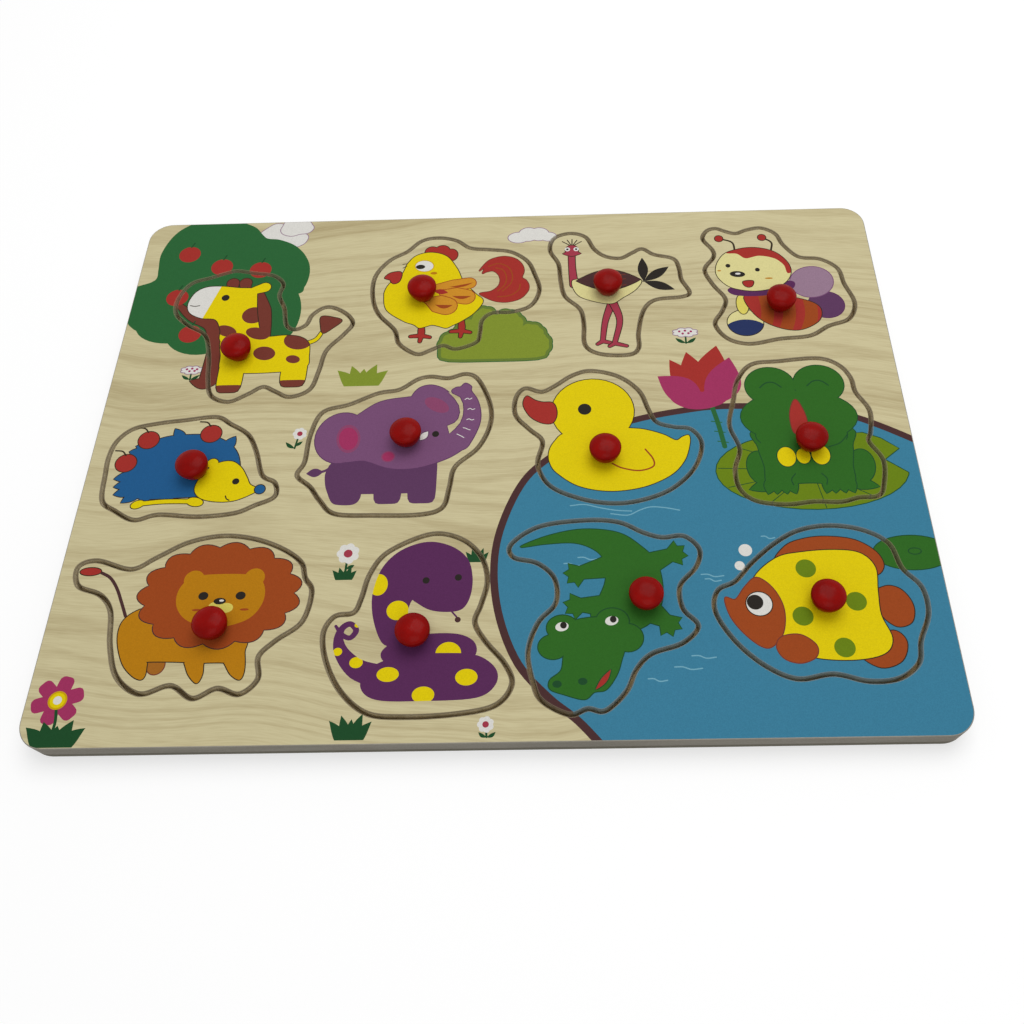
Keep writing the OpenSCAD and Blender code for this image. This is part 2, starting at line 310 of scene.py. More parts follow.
def triangle_edges(triangles: np.ndarray) -> np.ndarray:
    """Pairs of point numbers: the first edge of every triangle, then the second and third ones."""
    return np.concatenate([triangles[:, [0, 1]], triangles[:, [1, 2]], triangles[:, [2, 0]]])


def rim_loops(triangles: np.ndarray) -> list[np.ndarray]:
    """Chains the edges that only one triangle uses into loops, with the faces on their left.

    Each point of the rim looks 1, 2, 4 ... points ahead in turn. The least place that it meets names its
    loop, and the steps that are left to that place give its own place in the loop.

    Args:
        triangles: Triangles, one row of point numbers each.

    Returns:
        The point numbers of each loop in order.
    """
    edges = triangle_edges(triangles)
    size = int(edges.max()) + 1
    free = edges[~np.isin(edges @ [size, 1], edges @ [1, size])]
    free = free[np.argsort(free[:, 0])]
    here = np.arange(len(free))
    after = np.searchsorted(free[:, 0], free[:, 1])
    least, ahead = here, after
    for _ in range(len(free).bit_length()):
        least, ahead = np.minimum(least, least[ahead]), ahead[ahead]
    left, ahead = (least != here).astype(int), np.where(least == here, here, after)
    for _ in range(len(free).bit_length()):
        left, ahead = left + left[ahead], ahead[ahead]
    order = np.lexsort((-left, left > 0, least))
    return np.split(free[order, 0], np.flatnonzero(np.diff(least[order])) + 1)


def edge_values(triangles: np.ndarray, values: np.ndarray, chain: np.ndarray) -> np.ndarray:
    """Values of the triangles along a chain of point numbers.

    Args:
        triangles: Triangles, one row of point numbers each.
        values: One row for each triangle.
        chain: Point numbers of a closed loop of edges, with the triangles on its left.

    Returns:
        One row for each edge of the chain.
    """
    edges = triangle_edges(triangles)
    size = int(edges.max()) + 1
    keys = edges @ [size, 1]
    order = np.argsort(keys)
    wanted = np.column_stack([chain, np.roll(chain, -1)]) @ [size, 1]
    return values[order[np.searchsorted(keys, wanted, sorter=order)] % len(triangles)]


def top_outlines(node: bpy.types.Object) -> list[Loop]:
    """Outlines of a CAD node's top face in mm, counter-clockwise outside and clockwise round its holes.

    Args:
        node: Object of the node, a mesh of loose triangles.

    Returns:
        One loop for each edge of the face, the largest first.
    """
    mesh = node.data
    places = np.empty(len(mesh.vertices) * 3)
    mesh.vertices.foreach_get("co", places)
    places = np.round(places.reshape(-1, 3) / MM, CAD_DECIMALS)
    mesh.calc_loop_triangles()
    corners = np.empty(len(mesh.loop_triangles) * 3, int)
    mesh.loop_triangles.foreach_get("vertices", corners)
    single, number = np.unique(places, axis=0, return_inverse=True)
    triangles = number.reshape(-1)[corners].reshape(-1, 3)
    on_top = (single[triangles, 2] > single[:, 2].max() - MERGE_MM).all(1)
    loops = [single[chain, :2] for chain in rim_loops(triangles[on_top])]
    return sorted(loops, key=lambda loop: -abs(signed_area(loop)))


def eased_rows(top: float, bottom: float, upper_r: float, lower_r: float) -> np.ndarray:
    """Rows down an edge: a quarter round, a straight wall and a second quarter round.

    Args:
        top: Height of the top face in mm.
        bottom: Height of the underside in mm.
        upper_r: Radius of the upper round.
        lower_r: Radius of the lower round.

    Returns:
        Distance out from the edge's outline and height, one row each.
    """
    angle = np.linspace(0, np.pi / 2, EASE_STEPS + 1)
    ease = np.column_stack([np.sin(angle) - 1, np.cos(angle) - 1])
    return np.vstack([ease * upper_r + (0, top), (ease * (1, -1) * lower_r + (0, bottom))[::-1]])


@dataclass(frozen=True, eq=False)
class Patch:
    """Faces of as many corners each, with their material's place, their shading, and any inks."""

    faces: np.ndarray
    slot: int = 0
    smooth: bool = True
    inks: np.ndarray | None = None

    def colours(self) -> np.ndarray:
        """Linear colour and cover at each corner of each face, 0 where there is no ink."""
        if self.inks is None:
            return np.zeros((self.faces.size, 4), np.float32)
        return np.repeat(self.inks, self.faces.shape[1], axis=0)


def write_object(name: str, points: np.ndarray, patches: list[Patch],
                 materials: list[bpy.types.Material]) -> bpy.types.Object:
    """Writes one object from arrays, with its place in the mesh.

    Args:
        name: Name of the object.
        points: Points in mm, one row each.
        patches: Faces in blocks.
        materials: Materials in order.

    Returns:
        The new object, in the scene.
    """
    counts = [len(patch.faces) for patch in patches]
    slots = np.repeat([patch.slot for patch in patches], counts).astype(np.int32)
    faces = [face for patch in patches for face in patch.faces.tolist()]
    mesh = bpy.data.meshes.new(name)
    mesh.from_pydata((points * MM).tolist(), [], faces)
    for material in materials:
        mesh.materials.append(material)
    mesh.polygons.foreach_set("material_index", slots)
    mesh.polygons.foreach_set("use_smooth", np.repeat([patch.smooth for patch in patches], counts))
    if any(patch.inks is not None for patch in patches):
        colours = np.concatenate([patch.colours() for patch in patches])
        layer = mesh.color_attributes.new("ink", "FLOAT_COLOR", "CORNER")
        layer.data.foreach_set("color", colours.ravel())
    mesh.update()
    made = bpy.data.objects.new(name, mesh)
    bpy.context.scene.collection.objects.link(made)
    return made


@dataclass(frozen=True, eq=False)
class Rim:
    """An edge of a slab: its outline, with the wood on the left, the rows down it, and its material."""

    outline: Loop
    rows: np.ndarray
    face: Face


@dataclass
class Slab:
    """A flat sheet of wood with a printed top, closed all round."""

    rims: list[Rim]
    shapes: list[Shape] = field(default_factory=list)

    def printed_top(self) -> tuple[np.ndarray, np.ndarray, np.ndarray]:
        """Cuts the top face along its edges and every shape, and inks each triangle.

        Returns:
            Points, triangles, and the linear colour and cover of each triangle, 0 where the wood is bare.
        """
        edges = [rim.outline + outward(rim.outline) * rim.rows[0, 0] for rim in self.rims]
        limits = [shape.within for shape in self.shapes if shape.within is not None]
        points, triangles, _ = cut_plane(edges + [shape.loop for shape in self.shapes] + limits, MERGE_MM)
        middles = points[triangles].mean(1)
        kept = sum(winding(middles, edge) for edge in edges) > 0
        triangles, middles = triangles[kept], middles[kept]
        inks = np.zeros((len(triangles), 4), np.float32)
        for shape in self.shapes:
            covered = winding(middles, shape.loop) != 0
            if shape.within is not None:
                covered &= winding(middles, shape.within) != 0
            inks[covered] = linear(*shape.ink.value)
        used, triangles = np.unique(triangles, return_inverse=True)
        return points[used], triangles.reshape(-1, 3), inks

    def rim_at(self, loop: Loop) -> Rim:
        """The edge whose outline fills nearly the same box as a loop."""
        gaps = [np.abs(extent(rim.outline) - extent(loop)).sum() for rim in self.rims]
        return self.rims[int(np.argmin(gaps))]

    def build(self, name: str, materials: list[bpy.types.Material]) -> bpy.types.Object:
        """Builds the sheet: the printed top, its edges moved out and down row by row, and the underside.

        Args:
            name: Name of the object.
            materials: Materials in the order of Face.

        Returns:
            The new object.
        """
        flat, triangles, inks = self.printed_top()
        blocks = [np.column_stack([flat, np.full(len(flat), self.rims[0].rows[0, 1])])]
        patches = [Patch(triangles, Face.PRINT, False, inks)]
        count = len(flat)
        lowest, lowest_numbers = [], []
        for chain in rim_loops(triangles):
            rim = self.rim_at(flat[chain])
            away = rim.rows[1:, 0] - rim.rows[0, 0]
            grid = flat[chain] + outward(flat[chain]) * away[:, None, None]
            heights = np.broadcast_to(rim.rows[1:, 1, None, None], (*grid.shape[:2], 1))
            blocks.append(np.concatenate([grid, heights], 2).reshape(-1, 3))
            fresh = count + np.arange(grid.shape[0] * len(chain)).reshape(-1, len(chain))
            numbers = np.vstack([chain, fresh])
            after = np.roll(numbers, -1, 1)
            quads = np.stack([numbers[:-1], numbers[1:], after[1:], after[:-1]], -1)
            ink = np.tile(edge_values(triangles, inks, chain), (len(quads), 1))
            patches.append(Patch(quads.reshape(-1, 4), rim.face, True, ink))
            count += fresh.size
            lowest.append(grid[-1])
            lowest_numbers.append(numbers[-1])
        places, under, source = cut_plane(lowest, 0.0)
        middles = places[under].mean(1)
        inside = sum(winding(middles, loop) for loop in lowest) > 0
        corners = np.concatenate(lowest_numbers)[source[under[inside]]]
        patches.append(Patch(corners[:, ::-1], Face.UNDER, False))
        return write_object(name, np.vstack(blocks), patches, materials)


def blob(*points: Pair) -> Loop:
    """A smooth closed shape through points in order."""
    return closed_curve(points)


def ring(x: float, y: float, half_w: float, half_h: float, reach: np.ndarray, turn: float = 0.0) -> Loop:
    """A loop round a point: an oval whose radius is multiplied by the reach in each direction.

    Args:
        x: Middle from left to right.
        y: Middle from front to back.
        half_w: Half the oval's width.
        half_h: Half the oval's height.
        reach: Factors of the radius at even steps round the point.
        turn: Turn in degrees.

    Returns:
        The closed outline.
    """
    spin = np.radians(turn)
    across, along = unit(even_angles(len(reach))).T * reach * [[half_w], [half_h]]
    return np.column_stack([x + across * np.cos(spin) - along * np.sin(spin),
                            y + across * np.sin(spin) + along * np.cos(spin)])


def oval(x: float, y: float, half_w: float, half_h: float | None = None, turn: float = 0.0) -> Loop:
    """An oval round a point, turned by degrees; a circle where no second half size is given."""
    return ring(x, y, half_w, half_h or half_w, np.ones(OVAL_STEPS), turn)


def box(x: float, y: float, half_w: float, half_h: float, turn: float = 0.0) -> Loop:
    """A box with round corners: an oval on which the sixth powers of x and y add up to one."""
    powers = (unit(even_angles(OVAL_STEPS)) ** BOX_POWER).sum(1)
    return ring(x, y, half_w, half_h, powers ** (-1 / BOX_POWER), turn)


def lobes(x: float, y: float, half_w: float, half_h: float, count: int, depth: float) -> Loop:
    """An oval with round lobes: its reach falls by depth between them, as the size of a sine does."""
    angle = np.linspace(0, np.pi * count, count * LOBE_STEPS, endpoint=False)
    return ring(x, y, half_w, half_h, 1 - depth + depth * np.abs(np.sin(angle)))


def leaf(base: Pair, tip: Pair, width: float, bow: float = 0.0) -> Loop:
    """A pointed leaf: half a sine wave to each side of a line, which bows to its left by a parabola.

    Args:
        base: Point where the leaf starts.
        tip: Point where it ends.
        width: Greatest width.
        bow: Greatest distance of its middle line from the straight line.

    Returns:
        The closed outline.
    """
    share = np.linspace(0, 1, LEAF_STEPS + 1)[:, None]
    run = np.subtract(tip, base)
    left = -right_of(run)
    spine = np.asarray(base, float) + share * run + left * bow * 4 * share * (1 - share)
    half = left * width / 2 * np.sin(np.pi * share)
    return np.vstack([spine + half, (spine - half)[-2:0:-1]])


def stroke(points: list[Pair], *widths: float) -> Loop:
    """A brush line with round ends: a smooth curve with half the width to each side of it.

    Args:
        points: Points that the middle of the line goes through.
        widths: Widths at even steps along the line.

    Returns:
        The closed outline.
    """
    path = open_curve(points)
    along, steps = np.linspace(0, 1, len(path)), np.linspace(0, 1, len(widths))
    half = np.interp(along, steps, widths)[:, None] / 2
    right = right_of(np.gradient(path, axis=0))
    turn = np.linspace(0, np.pi, CAP_STEPS + 2)[1:-1, None]
    ends = []
    for at, side in ((-1, 1), (0, -1)):
        ahead = np.array([-right[at, 1], right[at, 0]])
        ends.append(path[at] + half[at] * side * (right[at] * np.cos(turn) + ahead * np.sin(turn)))
    return np.vstack([path + right * half, ends[0], (path - right * half)[::-1], ends[1]])


@dataclass
class Pen:
    """Draws flat shapes in mm from a middle, on a card that is stretched over a part of the board."""

    middle: np.ndarray
    stretch: np.ndarray
    line_w: float = 0.36
    stalk_w: float = 0.7
    shapes: list[Shape] = field(default_factory=list)

    def placed(self, loop: Loop) -> Loop:
        """A loop of the card, laid on the board."""
        return loop * self.stretch + self.middle

    def flat(self, ink: Ink, *loops: Loop, within: Loop | None = None) -> None:
        """Paints loops in one ink, kept inside another loop where one is given."""
        keep = None if within is None else self.placed(within)
        self.shapes.extend(Shape(ink, self.placed(loop), keep) for loop in loops)

    def dot(self, ink: Ink, *sizes: float) -> None:
        """Paints one oval, with its place and sizes as oval() takes them."""
        self.flat(ink, oval(*sizes))

    def outlined(self, ink: Ink, *loops: Loop, edge: Ink = Ink.LINE) -> None:
        """Paints loops as one figure with a thin dark line round it."""
        self.flat(edge, *(grown(loop, self.line_w) for loop in loops))
        self.flat(ink, *loops)

    def line(self, ink: Ink, width: float, *points: Pair) -> None:
        """Paints a thin line of one width."""
        self.flat(ink, stroke(list(points), width))

    def apple(self, x: float, y: float, radius: float) -> None:
        """Paints a red apple with a bent stalk.

        Args:
            x: Middle from left to right.
            y: Middle from front to back.
            radius: Radius of the apple.
        """
        self.outlined(Ink.RED, oval(x, y, radius, radius * 0.97))
        stalk = np.array([(-0.2, 0.9), (-0.6, 1.35), (-1.3, 1.45)]) * radius + (x, y)
        self.line(Ink.LINE, 0.6, *stalk)

    def daisy(self, x: float, y: float, half_w: float, half_h: float) -> None:
        """Paints a small white flower with pink dots on a stalk with two leaves.

        Args:
            x: Middle of the flower from left to right.
            y: Middle of the flower from front to back.
            half_w: Half the flower's width.
            half_h: Half the flower's height.
        """
        foot = y - half_h * 2.4
        self.line(Ink.LEAF, self.stalk_w, (x, y), (x, foot))
        for side in (-1, 1):
            tip = (x + side * half_w * 0.8, y - half_h * 1.2)
            self.flat(Ink.LEAF, leaf((x, foot), tip, half_h * 0.7, -side * 0.3))
        self.outlined(Ink.WHITE, lobes(x, y, half_w, half_h, 8, 0.2), edge=Ink.LILAC)
        for across, along in ((-0.45, 0.25), (0, 0.4), (0.45, 0.2), (-0.2, -0.25), (0.25, -0.2)):
            self.dot(Ink.MAGENTA, x + across * half_w, y + along * half_h, 0.5)

    def tuft(self, ink: Ink, x: float, y: float, half_w: float, height: float) -> None:
        """Paints five blades of grass that fan out and bow outwards from a flat foot.

        Args:
            ink: Ink of the grass.
            x: Middle of the foot from left to right.
            y: Foot from front to back.
            half_w: Half the width that the tips fan out to.
            height: Height of the longest blade.
        """
        above = np.array([(x - half_w * 2, y), (x + half_w * 2, y), (x, y + height * 4)])
        for lean, share in ((-1.0, 0.75), (-0.45, 0.95), (0.05, 0.8), (0.55, 1.0), (1.0, 0.7)):
            base = (x + lean * half_w * 0.4, y - height * 0.4)
            tip = (x + lean * half_w, y + height * share)
            self.flat(ink, leaf(base, tip, half_w * 0.52, lean * half_w * 0.2), within=above)


@dataclass
class Scenery:
    """Background of the print: a pond, a fruit tree, a bush and small plants; in mm on the board."""

    card: Pair = (300.0, 225.0)
    bank_w: float = 2.6
    ripple_w: float = 0.42
    vein_w: float = 0.3

    def draw(self, size: np.ndarray) -> list[Shape]:
        """Draws the background.

        Args:
            size: Size of the board in mm.

        Returns:
            The shapes in order.
        """
        pen = Pen(np.zeros(2), size / self.card)
        self.draw_sky(pen)
        self.draw_tree(pen)
        self.draw_meadow(pen)
        self.draw_pond(pen)
        self.draw_lotus(pen)
        return pen.shapes

    def draw_sky(self, pen: Pen) -> None:
        """Draws a cloud of two halves behind the tree, and one of four ovals.

        Args:
            pen: Pen on the board.
        """
        puffs = ((-6.4, -1.2, 5, 3.4), (-1.8, 0.8, 4.8, 4.4), (3, 0.8, 4.8, 4.2), (7.4, -1, 3.8, 2.8))
        pen.outlined(Ink.WHITE, blob((-103, 105), (-99.4, 109.7), (-96.2, 111.4), (-91, 110), (-84, 105.4),
                                     (-82.4, 103.4), (-83, 100.8), (-84.5, 99.1), (-88, 98), (-98, 100)),
                     edge=Ink.LILAC)
        pen.outlined(Ink.WHITE, blob((-93.9, 109.8), (-94.4, 107.3), (-92.9, 105.2), (-89.4, 104.2),
                                     (-86.1, 105.2), (-82.6, 105.8), (-80.7, 108.2), (-81.4, 110.3),
                                     (-84, 113), (-92, 113)), edge=Ink.LILAC)
        ovals = [oval(12 + a * 0.9, 101 + b * 0.84, c * 0.86, d * 0.84) for a, b, c, d in puffs]
        pen.outlined(Ink.WHITE, *ovals, edge=Ink.LILAC)

    def draw_tree(self, pen: Pen) -> None:
        """Draws the tree: a flower at its foot, a crown, a trunk with a branch and a root, and apples.

        Args:
            pen: Pen on the board.
        """
        pen.daisy(-119.5, 34.6, 4.4, 1.9)
        crown = blob((-151, 76), (-144.4, 80.2), (-142.5, 82.5), (-142.8, 87.4), (-143.2, 96), (-139.7, 106),
                     (-133.7, 112), (-124, 116), (-114, 115), (-110.1, 112.3), (-105.1, 109.4),
                     (-101.5, 104.9), (-99.2, 103), (-94.2, 102.2), (-88, 99.2), (-83.4, 94.6), (-80.4, 89),
                     (-79.4, 84), (-79.6, 79.6), (-80.6, 75.8), (-83, 72), (-100, 70), (-130, 70))
        pen.flat(Ink.TREE, crown, oval(-136, 67, 16.5, 15), oval(-115, 72, 30, 24), oval(-90, 62, 9.5, 16),
                 oval(-119, 54, 14.5, 12), oval(-132, 57.5, 14, 9.5))
        rise = [(-112.3, 30), (-112, 42), (-112.8, 50), (-116, 57), (-124, 61.4), (-130, 67)]
        trunk = stroke(rise, 7, 6, 6, 4.6, 2.4)
        pen.outlined(Ink.BROWN, trunk, leaf((-108, 29), (-119.5, 29.5), 5, 1.2))
        for x, y in ((-131, 95), (-116.3, 87.6), (-100, 85.5), (-132, 71.5), (-123.5, 52.5)):
            pen.dot(Ink.RED, x, y, 4.5, 4.3)
            pen.line(Ink.LEAF, 0.6, (x, y + 4), (x + 1, y + 6.4))

    def draw_meadow(self, pen: Pen) -> None:
        """Draws the bush, grass and flowers.

        Args:
            pen: Pen on the board.
        """
        puffs = ((-18, 44, 7, 8), (-12.5, 51, 6.5, 7), (-7, 55.5, 6.4, 8), (2, 53, 8, 8.6), (11, 48, 7, 7),
                 (15, 43.5, 5, 6.6))
        bush = [lobes(*puff, 9, 0.06) for puff in puffs] + [box(-3, 42, 21.5, 6.4)]
        pen.outlined(Ink.MOSS, *bush, edge=Ink.TREE)
        pen.flat(Ink.OLIVE, *(grown(loop, -1.2) for loop in bush), oval(-5, 47, 12, 7))
        pen.tuft(Ink.OLIVE, -53, 25.2, 9.8, 10.2)
        pen.tuft(Ink.LEAF, -6.5, -50.2, 4, 5.4)
        pen.daisy(71.6, 47.6, 5, 2.2)
        pen.tuft(Ink.LEAF, -51.6, -56, 4.2, 5)
        pen.line(Ink.LEAF, 0.8, (-51, -46), (-51.4, -54.6))
        pen.line(Ink.LEAF, pen.stalk_w, (-74, 3.6), (-74.6, 0), (-75, -2.4))
        pen.line(Ink.LEAF, pen.stalk_w, (-2, -106.6), (-1.6, -110.6))
        pen.tuft(Ink.LEAF, -44.6, -111, 6.8, 8.4)
        pen.flat(Ink.LEAF, leaf((-51.2, -52), (-48.4, -50.4), 1.4),
                 leaf((-74.9, -2.4), (-78.6, 0.4), 1.5, 0.4), leaf((-75, -1.6), (-72.3, 0.6), 1.3),
                 leaf((-1.6, -110.7), (-4.2, -109), 1.2, 0.3), leaf((-1.6, -110.7), (1.2, -109), 1.2, -0.3))
        for x, y, radius in ((-51, -46, 4), (-73.8, 4, 2.7), (-2, -106.6, 2.7)):
            pen.flat(Ink.WHITE, lobes(x, y, radius, radius, 7, 0.16))
            pen.dot(Ink.PINK, x, y, radius * 0.38)
        for turn in np.radians(np.arange(6) * 60 + 16):
            across, along = np.cos(turn), np.sin(turn)
            petal = box(-139.6 + 5.3 * across, -96.7 + 5 * along, 2.1, 1.5, np.degrees(turn))
            pen.flat(Ink.MAGENTA, grown(petal, 1))
        pen.line(Ink.LEAF, 1, (-139.4, -99), (-138.6, -104), (-139, -109))
        pen.tuft(Ink.LEAF, -138, -112, 9.6, 8.8)
        pen.dot(Ink.AMBER, -139.6, -96.7, 3.1)
        pen.dot(Ink.YELLOW, -139.6, -96.7, 2.5)
        pen.dot(Ink.WHITE, -139.6, -96.7, 1.4)

    def draw_pond(self, pen: Pen) -> None:
        """Draws the pond with its bank, ripples, lily pads and bubbles.

        Args:
            pen: Pen on the board.
        """
        shore = [(36, -116), (27, -106), (18, -98.5), (8, -87), (1.7, -71), (-0.6, -54), (1.2, -38),
                 (8, -20.5), (17, -10), (34, 1.5), (50, 7), (66, 10.4), (83, 12.3), (108, 11), (128, 7),
                 (138, 2.8), (150, -4), (158, -9)]
        pen.flat(Ink.WATER, np.vstack([open_curve(shore), [(158, -120), (36, -120)]]))
        pen.flat(Ink.BANK, stroke(shore, self.bank_w))
        pen.line(Ink.RIPPLE, self.ripple_w, (25.7, -28.8), (30.7, -28.4), (36, -29.8), (41.8, -31),
                 (47.1, -31.4))
        pen.line(Ink.RIPPLE, self.ripple_w, (39.8, -32.3), (45.7, -33), (49.7, -31.2), (53.7, -29.9),
                 (58.8, -30.3), (63.8, -31.4))
        for x, y, w in ((23.2, -51.3, 6.7), (28, -49.1, 7), (91, -42.3, 4.5), (64, -85.1, 7.7),
                        (58.2, -88.8, 8.8), (49.5, -92.6, 6.1), (69.3, -56.3, 7.5), (70.5, -58, 5.3)):
            pen.line(Ink.RIPPLE, self.ripple_w, (x, y), (x + w * 0.3, y), (x + w * 0.6, y - 0.9),
                     (x + w, y - 0.6))
        self.draw_pad(pen, np.array((112, -16)), np.array((34, 16)))
        pen.outlined(Ink.GREEN, oval(141, -49.5, 13, 6.4), edge=Ink.LEAF)
        pen.outlined(Ink.GREEN, oval(142, -49, 2, 1), edge=Ink.LEAF)
        pen.flat(Ink.WHITE, oval(85, -47.5, 2.3), oval(82.5, -53.3, 1.7))

    def draw_pad(self, pen: Pen, middle: np.ndarray, half: np.ndarray) -> None:
        """Draws an oval lily pad with straight veins and a notch between two lips at its right.

        Args:
            pen: Pen on the board.
            middle: Middle of the pad.
            half: Half its width and height.
        """
        upper, inner, lower = (0.947, 0.51), (0.779, 0.23), (0.991, -0.11)
        lip = ((0.4, 0.95), (0.594, 0.956), (0.776, 0.794), upper, inner)
        notch = (inner, lower, (1.1, -0.1), (1.1, 0.6), upper)
        pen.outlined(Ink.PAD, oval(*middle, *half), middle + lip * half, edge=Ink.LEAF)
        spread = np.radians([65, 100, 140, 175, 205, 240, 275, 310])
        tips = middle + unit(spread) * half * 0.98
        for tip in tips.tolist():
            pen.line(Ink.LEAF, self.vein_w, middle, tip)
        pen.flat(Ink.WATER, middle + notch * half)
        pen.line(Ink.LEAF, pen.line_w, *(middle + (upper, inner) * half))
        pen.line(Ink.LEAF, pen.line_w, *(middle + (inner, lower) * half))

    def draw_lotus(self, pen: Pen) -> None:
        """Draws the water lily: a stem, red petals, and a cup between two magenta petals.

        Args:
            pen: Pen on the board.
        """
        pen.line(Ink.TREE, 1.8, (79, 12), (80.6, 4), (82, -5.4))
        for x, y in ((80, 5.4), (80.8, 1), (81.6, -3.4)):
            pen.line(Ink.TREE, 0.4, (x - 1.9, y + 0.3), (x + 1.9, y - 0.3))
        pen.flat(Ink.RED, *(leaf((76, 12), tip, width) for tip, width in
                            (((64.6, 34.5), 9.6), ((71.2, 38), 11), ((83, 40.8), 13.4))))
        pen.flat(Ink.MAGENTA, leaf((76, 11.5), (59.6, 26.7), 12, -1), leaf((77, 12), (87.4, 35), 13.4, -2),
                 blob((62.5, 21), (64.5, 15), (70, 11.6), (77, 11.4), (83.6, 14), (86.8, 19), (87.2, 24),
                      (80, 24), (76, 19), (71, 23), (66, 24)))


@dataclass
class AnimalPiece:
    """A lift-out piece: sawn wood with the background and an animal printed on it; sizes in mm.

    The animal is drawn on a card of the piece's size. The screw's hole is a cone of 45 degrees.
    """

    name: str
    card: Pair
    edge_r: float = 0.32
    refine: int = 3
    hole_steps: int = 24
    screw_sink: float = 0.7
    head_gap: float = 0.1
    cone_h: float = 1.3

    def draw(self, pen: Pen) -> None:
        """Draws the animal; each kind draws its own."""
        raise NotImplementedError

    def screw_hole(self, top: float, bottom: float) -> Rim:
        """The countersunk hole: straight from the top, then a cone, then straight to the underside.

        Args:
            top: Height of the piece's top.
            bottom: Height of its underside.

        Returns:
            The edge of the hole.
        """
        low, high = (np.array(corner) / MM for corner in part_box(f"{self.name}_screw"))
        centre = (low + high)[:2] / 2
        head_r = (high - low)[0] / 2 + self.head_gap
        shank_r = head_r - self.cone_h
        circle = centre + shank_r * unit(-even_angles(self.hole_steps))
        spread = shank_r - head_r
        cone_z = bottom + self.screw_sink
        rows = np.array([(0, top), (0, cone_z - spread), (spread, cone_z), (spread, bottom)])
        return Rim(circle, rows, Face.CUT)

    def build(self, node: bpy.types.Object, scenery: list[Shape],
              materials: list[bpy.types.Material]) -> None:
        """Builds the piece in place of its CAD node.

        Args:
            node: The CAD node's object, for the outline and the heights.
            scenery: Shapes of the background.
            materials: Materials in the order of Face.
        """
        low, high = (np.array(corner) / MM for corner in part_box(node.name))
        outline = closed_curve(top_outlines(node)[0], self.refine)
        pen = Pen((low + high)[:2] / 2, (high - low)[:2] / self.card)
        self.draw(pen)
        shapes = [shape for shape in scenery if overlaps(shape.loop, low, high)] + pen.shapes
        rim = Rim(outline, eased_rows(high[2], low[2], self.edge_r, self.edge_r), Face.CUT)
        made = Slab([rim, self.screw_hole(high[2], low[2])], shapes).build(f"{self.name}_figure", materials)
        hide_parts(node.name)
        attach(made, self.name)
        log.info("%s: %d faces, %d shapes", made.name, len(made.data.polygons), len(shapes))


@dataclass
class Giraffe(AnimalPiece):
    """A spotted giraffe that stands and looks left."""

    name: str = "giraffe"
    card: Pair = (71.2, 64.7)

    def draw(self, pen: Pen) -> None:
        """Draws the tail, horns, mane, body, spots and head.

        Args:
            pen: Pen on the piece's card.
        """
        pen.outlined(Ink.YELLOW, stroke([(18, -6), (22.4, -4), (24.6, 0)], 1.8, 1.2))
        tuft = blob((23.4, 7.6), (28, 7.2), (31.8, 5.4), (28.6, 1.8), (25, -0.8), (23.6, 3))
        pen.outlined(Ink.BROWN, tuft)
        horns = [stroke([(x, 22.5), (x - 0.4, 26.4)], 3.6, 5) for x in (-14.4, -9.2)]
        mane = stroke([(-2.8, 19.6), (-0.4, 12), (0.8, 5), (1.6, -1.4)], 3.6, 5.8, 5.6, 5)
        pen.outlined(Ink.BROWN, *horns, mane)
        body = blob((-14.8, -3), (-8, -1.6), (3, -2), (10, -1.5), (16, -2.4), (19.8, -5.6), (20.7, -12),
                    (20.2, -17), (12, -19.2), (-4, -19.6), (-12.6, -18), (-13.9, -11))
        neck = blob((-31.4, 16), (-29.5, 21.6), (-25.4, 24.5), (-19, 24.8), (-12, 23.8), (-5, 23), (-4, 19),
                    (-3, 12), (-1.2, 4), (1, -4), (-6, -7), (-14.8, -4), (-16.2, 2), (-19, 7.4), (-25, 8.4),
                    (-30, 11.3))
        ear = stroke([(-6, 22), (-1.4, 23.8)], 3.6, 4.8)
        legs = [box(-8.6, -16.6, 4.8, 12.1), box(15.7, -15.8, 4.9, 10.8)]
        pen.outlined(Ink.YELLOW, body, neck, ear, *legs)
        for leg, (x, y) in zip(legs, ((-8.6, -28.2), (15.7, -26.4))):
            pen.flat(Ink.BROWN, box(x, y - 0.6, 6, 3.6), within=leg)
        pen.flat(Ink.BROWN, oval(-4, 9.2, 4.6, 4.2), oval(-13.6, 1.4, 4.4, 2.6, -25), within=neck)
        pen.dot(Ink.BROWN, -1, -0.2, 5, 2.8, -20)
        for x, y, w, h in ((3, -10.2, 4.4, 3.3), (15.4, -4.4, 5.6, 4.2), (14.6, -13.4, 2.8, 1.9)):
            pen.flat(Ink.BROWN, oval(x, y, w, h, -14), within=body)
        pen.flat(Ink.WHITE, np.array([(-40, 30), (-19, 26), (-25, 6), (-40, 5)]), within=neck)
        pen.dot(Ink.BLACK, -16.7, 18.7, 1.6)
        pen.line(Ink.LINE, 0.4, (-30.4, 15), (-28.4, 14.6), (-26.6, 14.9))


